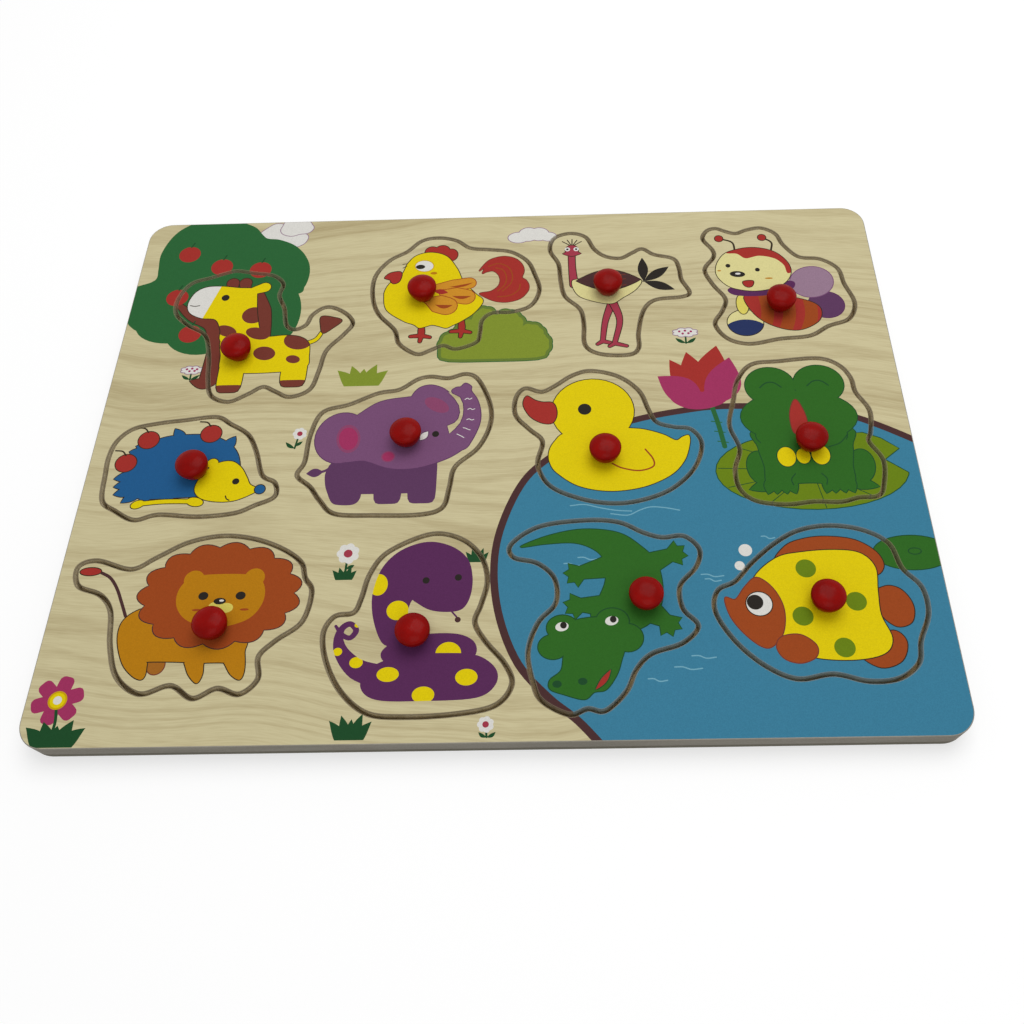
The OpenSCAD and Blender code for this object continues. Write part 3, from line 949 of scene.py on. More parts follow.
@dataclass
class Hen(AnimalPiece):
    """A round hen that looks left."""

    name: str = "hen"
    card: Pair = (66.2, 59.7)

    def draw(self, pen: Pen) -> None:
        """Draws the tail, feet, comb, body, beak, wing, painted shade beside the knob, and eye.

        Args:
            pen: Pen on the piece's card.
        """
        tail = blob((9.2, 11.6), (11.2, 13), (10.6, 10.2), (12.2, 11), (15, 11.4), (17.2, 9.2), (17.9, 6),
                    (17, 3), (14.2, 0.6), (9.8, -0.4), (11.9, -2.4), (16, -4.6), (21, -5.2), (26, -3.6),
                    (29, 0), (29.5, 3.2), (28.4, 6), (26.8, 7.6), (27.5, 11), (26.7, 14.6), (24, 17.8),
                    (19.8, 19.2), (15.8, 18.6), (12.4, 16.6))
        pen.outlined(Ink.RED, tail, edge=Ink.BROWN)
        for points in (((13, 14), (17, 15.4), (21, 13.4), (22.8, 9), (22.2, 4.6), (19, 0.6)),
                       ((16, 13.2), (19, 11.8), (20.4, 8), (19.8, 4), (17, 0.6)),
                       ((26, 4), (25.4, 1), (22, -1.8), (17, -2.4))):
            pen.line(Ink.RUST, 0.5, *points)
        for x, y in ((-12.8, -16.5), (3, -14.5)):
            toes = [stroke([(x, y), (x + 0.2, y - 4.4), (x + a, y - 5 - b)], 2.1, 1.9, 1.2)
                    for a, b in ((-4, 0.2), (-0.2, 2.8), (3.6, 0.8))]
            pen.outlined(Ink.RED, *toes)
        pen.outlined(Ink.RED, oval(-10.6, 22.6, 2.9), oval(-6.4, 23, 3.1), oval(-2.6, 20.8, 2.6, 3.2))
        body = blob((-11, 22.4), (-4.4, 20), (0.2, 13), (3, 6), (8, -0.4), (11.2, -4.4), (7.8, -10.4),
                    (2.7, -14.6), (-0.5, -16.5), (-3, -17.8), (-6, -16.8), (-8.7, -16.1), (-11.5, -17),
                    (-13.8, -17.4), (-15.8, -15.8), (-20.4, -13.6), (-27.2, -8), (-28.8, -0.6), (-28.2, 3.6),
                    (-26.2, 7), (-22.8, 10), (-21.4, 13), (-20.4, 16.4), (-17, 20.8))
        pen.outlined(Ink.YELLOW, body)
        pen.outlined(Ink.RED, blob((-29.3, 9.1), (-28.4, 10.6), (-26.7, 11.8), (-23.6, 12.3), (-22.5, 11.2),
                                   (-22.6, 8.9), (-23.5, 6.7), (-25.3, 5.9), (-26.5, 6.8), (-27, 7.9),
                                   (-28.6, 8.5)))
        for base, tip, width in (((-8, 3.2), (5.4, 5.2), 5.4), ((-5, 0.4), (4.2, -2), 7.4),
                                 ((-11, -3.6), (-3.4, -6.6), 8.6)):
            pen.outlined(Ink.ORANGE, stroke([base, tip], 3, width, width), edge=Ink.RUST)
            start = (base[0] * 0.6 + tip[0] * 0.4, base[1] * 0.6 + tip[1] * 0.4 - width * 0.1)
            stop = (tip[0] + width * 0.3, tip[1] + width * 0.06)
            pen.flat(Ink.RUST, leaf(start, stop, width * 0.22, -width * 0.12))
        # Painted shade beside the knob: a red patch in the wing
        pen.flat(Ink.RED, leaf((-9, 1.6), (-3, 0.4), 2.6))
        pen.outlined(Ink.WHITE, oval(-13.4, 15, 3.7, 2.9, -8), edge=Ink.AMBER)
        pen.dot(Ink.BLACK, -15, 14.6, 1.9, 1.2)
        pen.dot(Ink.OCHRE, -9.3, 11, 1.4, 0.7)
        pen.line(Ink.LINE, 0.35, (-20.4, 16.6), (-22.4, 16.2))
        pen.line(Ink.LINE, 0.35, (-20.6, 15.2), (-22.2, 14.2))


@dataclass
class Ostrich(AnimalPiece):
    """A long-legged ostrich that looks ahead."""

    name: str = "ostrich"
    card: Pair = (54.2, 63.3)

    def draw(self, pen: Pen) -> None:
        """Draws the legs, tail plumes, neck, body and head.

        Args:
            pen: Pen on the piece's card.
        """
        for hip, knee, foot in (((-3.4, -6), (-6.2, -15), (-7.6, -25.2)),
                                ((-2.8, -6), (-0.6, -15), (-3, -26.4))):
            toes = [stroke([foot, (foot[0] + a, foot[1] - b)], 1.6, 1.1) for a, b in ((-2, 1.4), (4.6, 1.4))]
            pen.outlined(Ink.PINK, stroke([hip, knee, foot], 3, 2.1, 1.6), *toes)
        for tip in ((9.8, 17.8), (20.4, 12.6), (22.1, 0.3)):
            pen.flat(Ink.BLACK, leaf((9.9, 5), tip, 4.2))
        pen.line(Ink.BLACK, 0.5, (7, 5.4), (10, 5))
        pen.outlined(Ink.PINK, stroke([(-18.9, 22), (-18.8, 13), (-18.2, 4)], 2.6, 2.6, 3.2))
        pen.outlined(Ink.CREAM, blob((-19, 5), (-16, 7), (0, 8), (8.6, 6), (6.6, 1), (1, -3.4), (-3.4, -6.2),
                                     (-10, -5), (-16.6, -1.6)))
        pen.outlined(Ink.BANK, leaf((-17.4, 6), (8.8, 6), 10.6, 0.2))
        for height in (3.4, 6.6, 9):
            pen.line(Ink.BROWN, 0.4, (-10, height), (-4, height - 0.8), (2.6, height))
        for tip in ((-22.6, 27.8), (-20.6, 28.6), (-18.6, 28.9), (-16.6, 28.4), (-14.8, 27.6)):
            pen.line(Ink.LINE, 0.45, (-18.7, 25), tip)
        pen.outlined(Ink.PINK, oval(-18.8, 22.6, 2.6, 3), leaf((-22.6, 21), (-15, 21), 2.6))
        for x in (-20.6, -17):
            pen.dot(Ink.WHITE, x, 23.4, 1.1)
            pen.dot(Ink.BLACK, x, 23.4, 0.5)


@dataclass
class Bee(AnimalPiece):
    """A striped bee with two wings and a round face."""

    name: str = "bee"
    card: Pair = (56.3, 59.7)

    def draw(self, pen: Pen) -> None:
        """Draws the wings, foot, striped body, collar, feelers and face.

        Args:
            pen: Pen on the piece's card.
        """
        pen.outlined(Ink.PLUM, oval(17.6, -11.8, 7, 6.6), edge=Ink.PURPLE)
        pen.outlined(Ink.LILAC, oval(13.4, 0.2, 8.8, 7.8, 24), edge=Ink.MAUVE)
        foot = oval(-15.2, -20, 7, 6.4)
        pen.outlined(Ink.CREAM, foot)
        pen.outlined(Ink.STRAW, oval(-15.4, -10.6, 2.3, 5))
        pen.flat(Ink.NAVY, oval(-15.2, -25, 9, 6.6), within=foot)
        body = blob((-14.2, -6.4), (-4, -6), (6, -8), (13, -11), (15.2, -15), (13, -20.4), (5, -24.2),
                    (-4, -22), (-11, -16))
        pen.outlined(Ink.RED, body)
        for x in (-7, 1.6, 10.2):
            pen.flat(Ink.RUST, stroke([(x - 3, -28), (x + 1, -16), (x + 0.4, -2)], 5), within=body)
        pen.flat(Ink.PURPLE, blob((-19.6, -2), (-18.6, -5.6), (-10, -6.6), (0, -5.4), (6, -2.6), (5.4, 1),
                                  (-6, 0)))
        for start, bend, tip in (((-15.6, 17.8), (-16.4, 22.6), (-21.6, 24.8)),
                                 ((-0.8, 17.6), (-0.2, 22), (-3.8, 24.9))):
            pen.line(Ink.LINE, 0.8, start, bend, tip)
            pen.outlined(Ink.RED, oval(*tip, 1.6))
        face = blob((-24.4, 7), (-22.8, 12.6), (-18.6, 17.2), (-9, 19.4), (0, 17), (5.2, 10.6), (5.4, 4),
                    (0.6, -1.4), (-9, -3.8), (-18.4, -2), (-23, 2.4))
        pen.outlined(Ink.CREAM, face)
        pen.flat(Ink.RED, blob((-20, 17.4), (-15, 16.2), (-11.6, 13.6), (-6, 14.8), (0, 13.2), (3.4, 9.6),
                               (5, 5), (12, 12), (0, 26), (-18, 26)), within=face)
        pen.flat(Ink.BLACK, oval(-19.2, 9.8, 1), oval(-7.5, 7.3, 1), oval(-15.8, 5.2, 3.1, 1.6, -5))
        pen.dot(Ink.WHITE, -15.6, 5.4, 1.1, 0.5)
        pen.outlined(Ink.RED, blob((-13.8, 1.2), (-10, 1.4), (-10.4, -1), (-12, -1.8), (-13.6, -0.8)))
        pen.flat(Ink.OCHRE, oval(-23, 7.2, 0.8, 0.35), oval(-3.4, 2.6, 1.6, 0.4))


@dataclass
class Hedgehog(AnimalPiece):
    """A hedgehog that carries apples and looks right."""

    name: str = "hedgehog"
    card: Pair = (62.6, 42.1)

    def draw(self, pen: Pen) -> None:
        """Draws the coat with its quills, the feet, apples and face.

        Args:
            pen: Pen on the piece's card.
        """
        coat = blob((-24.4, -8), (-24, 0), (-20.6, 8), (-13.6, 12.8), (-4, 14), (5, 13.2), (12.4, 9.2),
                    (16.4, 3), (16.6, -5), (8, -11.6), (-6, -13), (-18, -12.8))
        spines = (((-20, -3), (-28, -4.6)), ((-19, -6), (-27.4, -8)), ((-19, -9), (-26.8, -11.2)),
                  ((-16, -9), (-23.4, -14.6)), ((-18, 3), (-26.6, -0.6)), ((-5, 10), (-9.6, 16.8)),
                  ((10, 6), (13.6, 12.8)), ((-12, -9), (-17, -14.6)), ((-4, -10), (-9.6, -14.6)),
                  ((-18, 6), (-24.8, 7)), ((-16, 8), (-22.8, 9.4)))
        quills = [leaf(base, tip, 4) for base, tip in spines]
        pen.outlined(Ink.BLUE, coat, *quills)
        pen.outlined(Ink.YELLOW, stroke([(-17, -15.2), (-8, -14.4), (3, -14.6)], 1.6),
                     oval(-17.2, -15.4, 2.4, 1.5, 20), oval(3.2, -14.8, 3, 1.7, -12))
        for x, y in ((-18.6, 12), (4.3, 14.2), (-25, 2.1)):
            pen.apple(x, y, 3.8)
        face = blob((4, -3.4), (8.4, 1), (13.6, 2), (17.6, -0.6), (20.4, -5), (22, -8), (25, -10),
                    (22.6, -12.2), (17, -14.6), (10.5, -14.8), (4.8, -13.2), (2.2, -9.4))
        pen.outlined(Ink.YELLOW, oval(7, 1.2, 2), face)
        pen.outlined(Ink.BLUE, oval(25.8, -10.1, 1.8))
        pen.dot(Ink.BLACK, 16.6, -6.6, 1.3)
        pen.line(Ink.LINE, 0.45, (13.8, -12.6), (14.4, -13.8), (15.4, -14.4))


@dataclass
class Elephant(AnimalPiece):
    """An elephant that walks to the right with its trunk raised."""

    name: str = "elephant"
    card: Pair = (68.3, 59.7)

    def draw(self, pen: Pen) -> None:
        """Draws the tail, legs, body, trunk, ear, tusk and eye.

        Args:
            pen: Pen on the piece's card.
        """
        pen.flat(Ink.PLUM, stroke([(-22, -9.4), (-25, -11.6), (-28, -12.2)], 1),
                 leaf((-25.4, -12), (-31.6, -12.6), 3.6))
        hind = blob((-21.4, -7.4), (-24.5, -12), (-24.3, -17), (-23, -21), (-21, -24.9), (-18, -25.9),
                    (-13.6, -25.8), (-11.4, -24), (-10.8, -20), (-11, -8))
        pen.flat(Ink.PLUM, hind, box(-1.5, -16, 5, 9.8), box(10.7, -16, 5.1, 9.8), box(-2, -13.7, 17.8, 7.9))
        hump = oval(-20.2, 2.6, 9.8, 11, -6)
        back = blob((-22, 6), (-14.6, 13), (-7.4, 18.2), (1.4, 20), (10, 20), (19, 14), (23, 6),
                    (26.4, -1.4), (24, -4), (18.4, -7.6), (8.4, -11), (-1.4, -11), (-11, -7.6), (-20, -7))
        inner = [(19.5, 3.5), (21.5, 5.7), (23.2, 8.2), (24.1, 11.3), (24.2, 14.2), (23.9, 16.8),
                 (22.7, 19.7), (21.3, 20.6)]
        rim = [(18.1, 22.4), (20.9, 19), (22.5, 16.1), (23.1, 12.8), (22.5, 9.9), (21.1, 8.1), (18.6, 6.9)]
        trunk = blob((19.6, 22.7), (21.2, 24.2), (22.9, 24.5), (24.6, 26.1), (26.8, 24.6), (26.9, 22.5),
                     (29.3, 18.4), (30.7, 12.6), (30.3, 6.9), (27.8, 0.3), (25.1, -3.4), (19, -4), (15, 1),
                     *inner)
        ear = blob((4.2, 19), (6.8, 24), (11, 25.6), (15, 24.6), *rim, (12, 8.4), (6, 14))
        pen.outlined(Ink.MAUVE, hump, back, trunk, ear, edge=Ink.PLUM)
        pen.outlined(Ink.BARE, np.array(rim + inner), edge=Ink.PLUM)
        for ink, share in ((Ink.PATCH, 1.0), (Ink.MAGENTA, 0.8)):
            pen.flat(ink, oval(-17.7, 2.1, 4.4 * share, 6.2 * share, 8),
                     oval(-2.4, -6, 2.6 * share, 2.4 * share))
        pen.dot(Ink.PATCH, 14.2, 16.4, 5.2, 2.8, -32)
        for x, y, lean in ((26, 18.9, 0.3), (27.2, 14.2, 0.1), (27, 9.5, 0), (25.8, 5.4, -0.5),
                           (23.6, 2.4, -0.8)):
            pen.line(Ink.WHITE, 0.3, (x - 1.3, y - lean), (x - 0.4, y + 0.3), (x + 0.4, y - 0.2),
                     (x + 1.3, y + lean))
        pen.outlined(Ink.WHITE, leaf((8.8, 0.8), (11.6, 4.6), 2.4), edge=Ink.PLUM)
        pen.dot(Ink.BLACK, 14.4, 3.4, 1.3)


@dataclass
class Duck(AnimalPiece):
    """A yellow duck that swims to the left."""

    name: str = "duck"
    card: Pair = (67.1, 56.8)

    def draw(self, pen: Pen) -> None:
        """Draws the body, bill, wing and eye.

        Args:
            pen: Pen on the piece's card.
        """
        body = blob((-21.5, -8.4), (-20.8, -5.2), (-19, -2.2), (-16.4, 0.5), (-9, 3), (2, 3.2), (8.6, 2.5),
                    (12.8, 2), (17, 0.8), (21.1, -0.9), (25, -3.2), (27.4, -1.8), (29.8, -1.2), (29.8, -5),
                    (27.4, -12), (22, -18), (12, -22.6), (0, -24), (-11, -21.6), (-18.6, -16), (-21, -12))
        pen.outlined(Ink.YELLOW, body, oval(-5, 10.5, 15.3, 14.6))
        pen.outlined(Ink.RED, blob((-29.7, 17.9), (-26.6, 16), (-23.7, 15), (-19.9, 14.6), (-18.5, 11.4),
                                   (-18.7, 7.9), (-20.4, 5.4), (-24.2, 5.8), (-28.4, 8.8), (-30.9, 14)))
        pen.line(Ink.RUST, 0.6, (13.6, -6.8), (16.2, -11), (16, -14.2), (11, -15.8), (5, -14.6),
                 (1.4, -12.6))
        pen.dot(Ink.BLACK, -8, 11.4, 2.5)


@dataclass
class Frog(AnimalPiece):
    """A sitting frog that smiles with closed eyes."""

    name: str = "frog"
    card: Pair = (52.3, 62.3)

    def draw(self, pen: Pen) -> None:
        """Draws the thighs, feet, body, head, tongue and bow.

        Args:
            pen: Pen on the piece's card.
        """
        pen.outlined(Ink.GREEN, oval(-17.4, -16.6, 4.8, 7, 8), leaf((-10, -23.6), (-22.4, -25.6), 4.6, -0.6),
                     oval(18.6, -16.6, 4.8, 7, -8), leaf((11, -23.6), (23.6, -25.4), 4.6, 0.6),
                     edge=Ink.LEAF)
        toes = [leaf((x + a * 0.5, -20), (x + a, -27.6), 4.4)
                for x in (-11, 9.6) for a in (-5, -1.8, 1.8, 5)]
        torso = blob((-17, 0), (-17.4, -8), (-16, -16), (-15.4, -24), (-6, -25), (-5, -23.4), (3, -23.4),
                     (5, -25), (14.6, -24), (15.6, -16), (16.8, -8), (16, 0))
        pen.outlined(Ink.GREEN, torso, *toes, edge=Ink.LEAF)
        pen.outlined(Ink.GREEN, oval(-0.9, 5.2, 21.4, 11.6), oval(-9.9, 19.2, 9.4, 8.6),
                     oval(8.4, 19.8, 9.4, 8.6), oval(-1, -3, 16.6, 7), edge=Ink.LEAF)
        pen.flat(Ink.GREEN, box(-0.6, -9, 15.6, 6))
        for x, y in ((-9.8, 20), (8, 20.4)):
            pen.line(Ink.LEAF, 0.5, (x - 4, y - 1.4), (x - 2, y + 0.4), (x, y + 1), (x + 2, y + 0.4),
                     (x + 4, y - 1.4))
        for side, x in ((-1, -5.4), (1, 4)):
            pen.line(Ink.LEAF, 0.4, (x, -19.4), (x + side * 1.6, -21.6), (x + side * 1.2, -24))
        pen.line(Ink.LEAF, 0.4, (8, -8.4), (12.6, -6.6), (15.8, -3))
        pen.outlined(Ink.RED, blob((-1.2, 12.8), (1, 8), (1.8, 2), (0.6, -3), (-3.4, -2), (-4.2, 4),
                                   (-3.4, 9)), edge=Ink.BROWN)
        for x, y, w, h in ((-7.6, -12.2, 3.3, 4.1), (-1.5, -12, 2.5, 3.2), (4.8, -11.6, 3.3, 4.1)):
            pen.outlined(Ink.YELLOW, oval(x, y, w, h), edge=Ink.LEAF)


@dataclass
class Lion(AnimalPiece):
    """A lion with a lobed mane that faces ahead."""

    name: str = "lion"
    card: Pair = (81.2, 57.2)

    def draw(self, pen: Pen) -> None:
        """Draws the tail, legs, body, mane and face.

        Args:
            pen: Pen on the piece's card.
        """
        pen.line(Ink.BANK, 1.1, (-20.6, -0.4), (-23, 4.6), (-25.8, 10), (-29, 14), (-33, 16.2))
        pen.outlined(Ink.RED, oval(-36.2, 16.4, 3.6, 1.4))
        pen.outlined(Ink.TAN, oval(-7, -17.8, 2.9, 3.2), edge=Ink.BROWN)
        body = blob((-21, -2), (-17.6, 1.2), (-13.2, 2.1), (0, 0), (20, -8), (21.6, -14), (22.4, -20),
                    (21.4, -23.2), (18.2, -21.5), (15.6, -17.8), (14.8, -17.3), (9.2, -17.3), (8.7, -17.8),
                    (8.9, -21.4), (7.5, -24.2), (4.4, -21.4), (2.4, -17.5), (1.6, -16.9), (-9.4, -16.6),
                    (-9.9, -17.4), (-9.8, -21.2), (-11, -22.7), (-14, -21.4), (-17.8, -17.6), (-20.6, -11.8),
                    (-21.8, -6.4))
        pen.outlined(Ink.OCHRE, body)
        pen.outlined(Ink.RUST, lobes(9.9, 7, 28, 19.6, 15, 0.1), edge=Ink.BANK)
        face = blob((-1, 13.6), (4, 14.4), (10.6, 14.6), (17, 14.4), (22.2, 13.6), (25.2, 8.6), (24.6, 2.4),
                    (20.2, -2.6), (10.6, -5), (1, -2.6), (-3.8, 2.4), (-4.4, 8.6))
        pen.flat(Ink.OCHRE, face, oval(0.3, 12.6, 3.5), oval(21, 13, 3.5))
        pen.flat(Ink.BLACK, oval(4.5, 6.5, 1.7, 1.5), oval(17.2, 6.4, 1.7, 1.5))
        pen.flat(Ink.STRAW, oval(9.2, 2.4, 2.4, 1.9), oval(12.8, 2, 2.5, 1.8))
        pen.dot(Ink.BLACK, 10.4, 4.5, 2.1, 1.2)
        pen.dot(Ink.WHITE, 11, 4.7, 0.8, 0.4)
        pen.flat(Ink.RUST, oval(3, 1.4, 1.5, 0.42), oval(19.2, 1.3, 1.5, 0.42))


@dataclass
class Snake(AnimalPiece):
    """A coiled snake with spots that looks right."""

    name: str = "snake"
    card: Pair = (61.1, 63.7)

    def draw(self, pen: Pen) -> None:
        """Draws the tail, coils, neck, head, spots and eyes.

        Args:
            pen: Pen on the piece's card.
        """
        curl = [(-12, -19), (-19, -16.4), (-24, -11.4), (-25.9, -6.6), (-25.2, -2.4), (-22.6, -0.7),
                (-20.4, -3), (-22.2, -5.6), (-25, -4.4), (-27.3, -1.4)]
        tail = stroke(curl, 8, 7, 5, 3.4, 2.2, 2, 2, 1.8, 1.6, 1)
        lower = blob((-17.4, -22), (-14, -15.6), (-4, -12), (10, -11.4), (20, -12.4), (26, -17), (26, -22.4),
                     (20, -26.6), (4, -27.4), (-12, -26.8))
        upper = blob((-11.6, -11), (-6, -6.4), (4, -4.6), (14, -5), (19.2, -8.4), (18, -13.4), (6, -15.6),
                     (-8, -15.2))
        head = blob((-2.6, 7.4), (-3.6, 4.2), (-3.4, 0), (-4.6, -8), (-10, -8.6), (-13, -5), (-15.6, 3),
                    (-16, 11), (-13.4, 20), (-7.4, 26.4), (1.4, 29.4), (9.6, 27.6), (15.4, 22.8), (17.4, 16),
                    (17, 9), (14.6, 4.2), (10, 3), (3.6, 3.8), (-1.6, 6.9))
        pen.flat(Ink.PURPLE, upper)
        pen.flat(Ink.YELLOW, oval(10.4, -11.6, 4.2, 4), within=upper)
        pen.flat(Ink.PURPLE, tail, lower, head)
        pen.line(Ink.PURPLE, 0.6, (11, 3), (12.4, 1.4), (13, 0.4))
        pen.dot(Ink.BANK, 13, 0.2, 1)
        for within, spots in ((head, ((-14.4, 13.4, 3.2, 4), (-7.2, 3.9, 3.7, 3.5))),
                              (lower, ((-8.8, -18.4, 3.6, 2.5), (16.6, -19.7, 3.6, 2.8),
                                       (3, -25.4, 3.6, 2.8))),
                              (tail, ((-19.4, -14.2, 2.2, 1.9), (-25.8, -10.4, 1.5, 1.4),
                                      (-20.2, -1.2, 0.9, 0.8)))):
            pen.flat(Ink.YELLOW, *(oval(*spot) for spot in spots), within=within)
        pen.flat(Ink.BLACK, oval(1.7, 14.7, 1.2), oval(12.6, 15.6, 1.2))


@dataclass
class Crocodile(AnimalPiece):
    """A crocodile seen from above, with its tail curled round."""

    name: str = "crocodile"
    card: Pair = (63.8, 67.8)

    def paw(self, ankle: Pair, turn: float, reach: float = 5.6) -> Loop:
        """A foot with four claws: tips on a circle about the ankle, with webs drawn in between them.

        Args:
            ankle: Middle of the circle.
            turn: Direction of the foot in degrees.
            reach: Radius of the circle.

        Returns:
            The closed outline.
        """
        angle = np.radians(turn + np.array([-105, -60, -40, -20, 0, 20, 40, 60, 105]))
        radius = reach * np.array([0.42, 0.96, 0.68, 1.02, 0.72, 1.02, 0.68, 0.96, 0.42])
        return np.array(ankle) + unit(angle) * radius[:, None]

    def draw(self, pen: Pen) -> None:
        """Draws the legs, tail and body, head, mouth and eyes.

        Args:
            pen: Pen on the piece's card.
        """
        limbs = []
        for hip, ankle, turn in (((12, 16), (22.6, 20.6), 15), ((5, 17.4), (-8.4, 14.4), 200),
                                 ((5, 2), (-8.6, 2.6), 190), ((13, 1), (19.4, -3.6), -50)):
            limbs.append(stroke([hip, np.add(hip, ankle) / 2, ankle], 10, 7, 4.6))
            limbs.append(self.paw(ankle, turn))
        body = blob((-28.8, 24.6), (-19, 28.8), (-7, 31), (5, 29.4), (12.6, 24), (17.4, 18), (19, 10),
                    (18, 2), (13, -5), (2, -8), (-5, -2), (-2.6, 4.4), (0, 11), (0.2, 18), (-3, 22.8),
                    (-10, 25.8), (-20, 25.6))
        pen.outlined(Ink.GREEN, body, *limbs, edge=Ink.LEAF)
        snout = blob((-14, -14), (-15.2, -20), (-18.8, -23.2), (-18.8, -26.2), (-14.4, -28), (-8, -29.7),
                     (-4.8, -27.4), (-1, -26.6), (2.4, -22), (4.2, -17), (5.4, -11), (0, -8), (-10, -9))
        pen.outlined(Ink.GREEN, snout, oval(-5.4, -8.8, 14.6, 6.8, 6), oval(-17.8, -12, 4.8, 4.2),
                     oval(6.6, -9.2, 5, 4.8), oval(-14.6, -5.4, 5.2, 4.4), oval(1.8, -3.4, 5.4, 4.6),
                     edge=Ink.LEAF)
        for x, y in ((-14.8, -5), (1.6, -3.2)):
            pen.dot(Ink.WHITE, x, y, 2.2, 1.6, 12)
            pen.dot(Ink.BLACK, x + 0.5, y + 0.5, 1.1, 1.2)
        pen.outlined(Ink.RED, leaf((0.7, -20), (-4.4, -26.6), 1.8, 0.3), edge=Ink.LEAF)
        pen.flat(Ink.LEAF, oval(-16.6, -24.6, 1.5, 1.2), oval(-8.4, -23.8, 1.5, 1.2))


@dataclass
class Fish(AnimalPiece):
    """A spotted fish that swims to the left."""

    name: str = "fish"
    card: Pair = (68.3, 55.2)

    def draw(self, pen: Pen) -> None:
        """Draws the fins, body, head, spots and eye.

        Args:
            pen: Pen on the piece's card.
        """
        fin = blob((-12.6, 14), (-9, 20.6), (-2, 23.4), (6, 24), (15, 22.4), (21.4, 17.6), (22.8, 12),
                   (18, 9), (4, 14))
        low_fin = blob((10, -19), (14, -14), (22, -11), (25.6, -15), (23, -21.4), (16, -23.6))
        tail = blob((17.8, 2.6), (20.4, 4.3), (23.6, 5), (27, 3.6), (29.4, 0), (30, -4), (28.6, -8),
                    (25.4, -9.6), (22.4, -9), (19, -5))
        pen.outlined(Ink.RUST, fin, low_fin, tail)
        body = blob((-20.6, 9), (-12.4, 16.2), (-3.6, 18.2), (7.4, 18.8), (15.8, 17.4), (20, 12),
                    (19.4, 3.4), (19, -5.4), (21.2, -13.6), (18, -18.8), (8.6, -20.8), (-3.6, -20),
                    (-12, -16.4), (-18, -8), (-22, 0))
        pen.outlined(Ink.YELLOW, body)
        head = blob((-31, 1.6), (-27.6, 1), (-24, 5.6), (-19.8, 8.9), (-14.8, 4.6), (-12.2, -2.8),
                    (-13.4, -11), (-17.4, -15.8), (-21, -15.6), (-26, -11), (-29.8, -5))
        pen.outlined(Ink.RUST, head, edge=Ink.BROWN)
        pen.outlined(Ink.RUST, blob((-16, -16), (-14, -12.6), (-8, -12), (-3.4, -15.6), (-4, -19.6),
                                    (-9, -21.6), (-14, -20)), edge=Ink.BROWN)
        for x, y in ((-3.1, 12), (11.8, -0.4), (-6.3, -5.4), (5.6, -16.6)):
            pen.dot(Ink.PAD, x, y, 3.4)
        pen.outlined(Ink.WHITE, oval(-20, -0.7, 4.2))
        pen.dot(Ink.BLACK, -21.3, -0.1, 2.7)


class NodeSheet:
    """A node tree that nodes are added to one call at a time."""

    def __init__(self, tree: bpy.types.NodeTree) -> None:
        """Starts on an empty tree."""
        self.tree = tree

    def add(self, kind: str, inputs: dict[Any, Any], **settings: Any) -> bpy.types.Node:
        """Adds a node.

        Args:
            kind: Type name of the node.
            inputs: Sockets to link, or values to set, by the name or number of the input.
            settings: Properties of the node.

        Returns:
            The new node.
        """
        node = self.tree.nodes.new(kind)
        for name, value in settings.items():
            setattr(node, name, value)
        for key, value in inputs.items():
            if isinstance(value, bpy.types.NodeSocket):
                self.tree.links.new(value, node.inputs[key])
            else:
                node.inputs[key].default_value = value
        return node

    def noise(self, vector: Any, stretch: Any, *, detail: float) -> Any:
        """Adds noise on a vector that is multiplied by a stretch, per metre, and returns its value."""
        scaled = self.add("ShaderNodeMapping", {"Vector": vector, "Scale": stretch}).outputs["Vector"]
        return self.add("ShaderNodeTexNoise",
                        {"Vector": scaled, "Scale": 1.0, "Detail": detail}).outputs["Fac"]

    def remap(self, value: Any, low: float, high: float, to_low: float, to_high: float) -> Any:
        """Adds a node that maps a range of values to another, and returns its value."""
        inputs = {"Value": value, "From Min": low, "From Max": high, "To Min": to_low, "To Max": to_high}
        return self.add("ShaderNodeMapRange", inputs).outputs["Result"]

    def mix(self, share: Any, first: Any, second: Any, blend: str = "MIX") -> Any:
        """Adds a mix of two colours and returns its colour."""
        inputs = {MIX_SHARE: share, MIX_FIRST: first, MIX_SECOND: second}
        return self.add("ShaderNodeMix", inputs, data_type="RGBA", blend_type=blend).outputs[MIX_RESULT]

    def math(self, operation: str, first: Any, second: Any) -> Any:
        """Adds a calculation with two values and returns its value."""
        return self.add("ShaderNodeMath", {0: first, 1: second}, operation=operation).outputs[0]

    def place(self) -> Any:
        """Adds the object's own coordinates and returns their vector."""
        return self.add("ShaderNodeTexCoord", {}).outputs["Object"]

    def ink(self) -> Any:
        """Adds the mesh's ink colours and returns the outputs, colour and cover."""
        return self.add("ShaderNodeVertexColor", {}, layer_name="ink").outputs

    def bump(self, height: Any, strength: float, distance: float) -> Any:
        """Adds a bump and returns its normal."""
        inputs = {"Height": height, "Strength": strength, "Distance": distance}
        return self.add("ShaderNodeBump", inputs).outputs["Normal"]


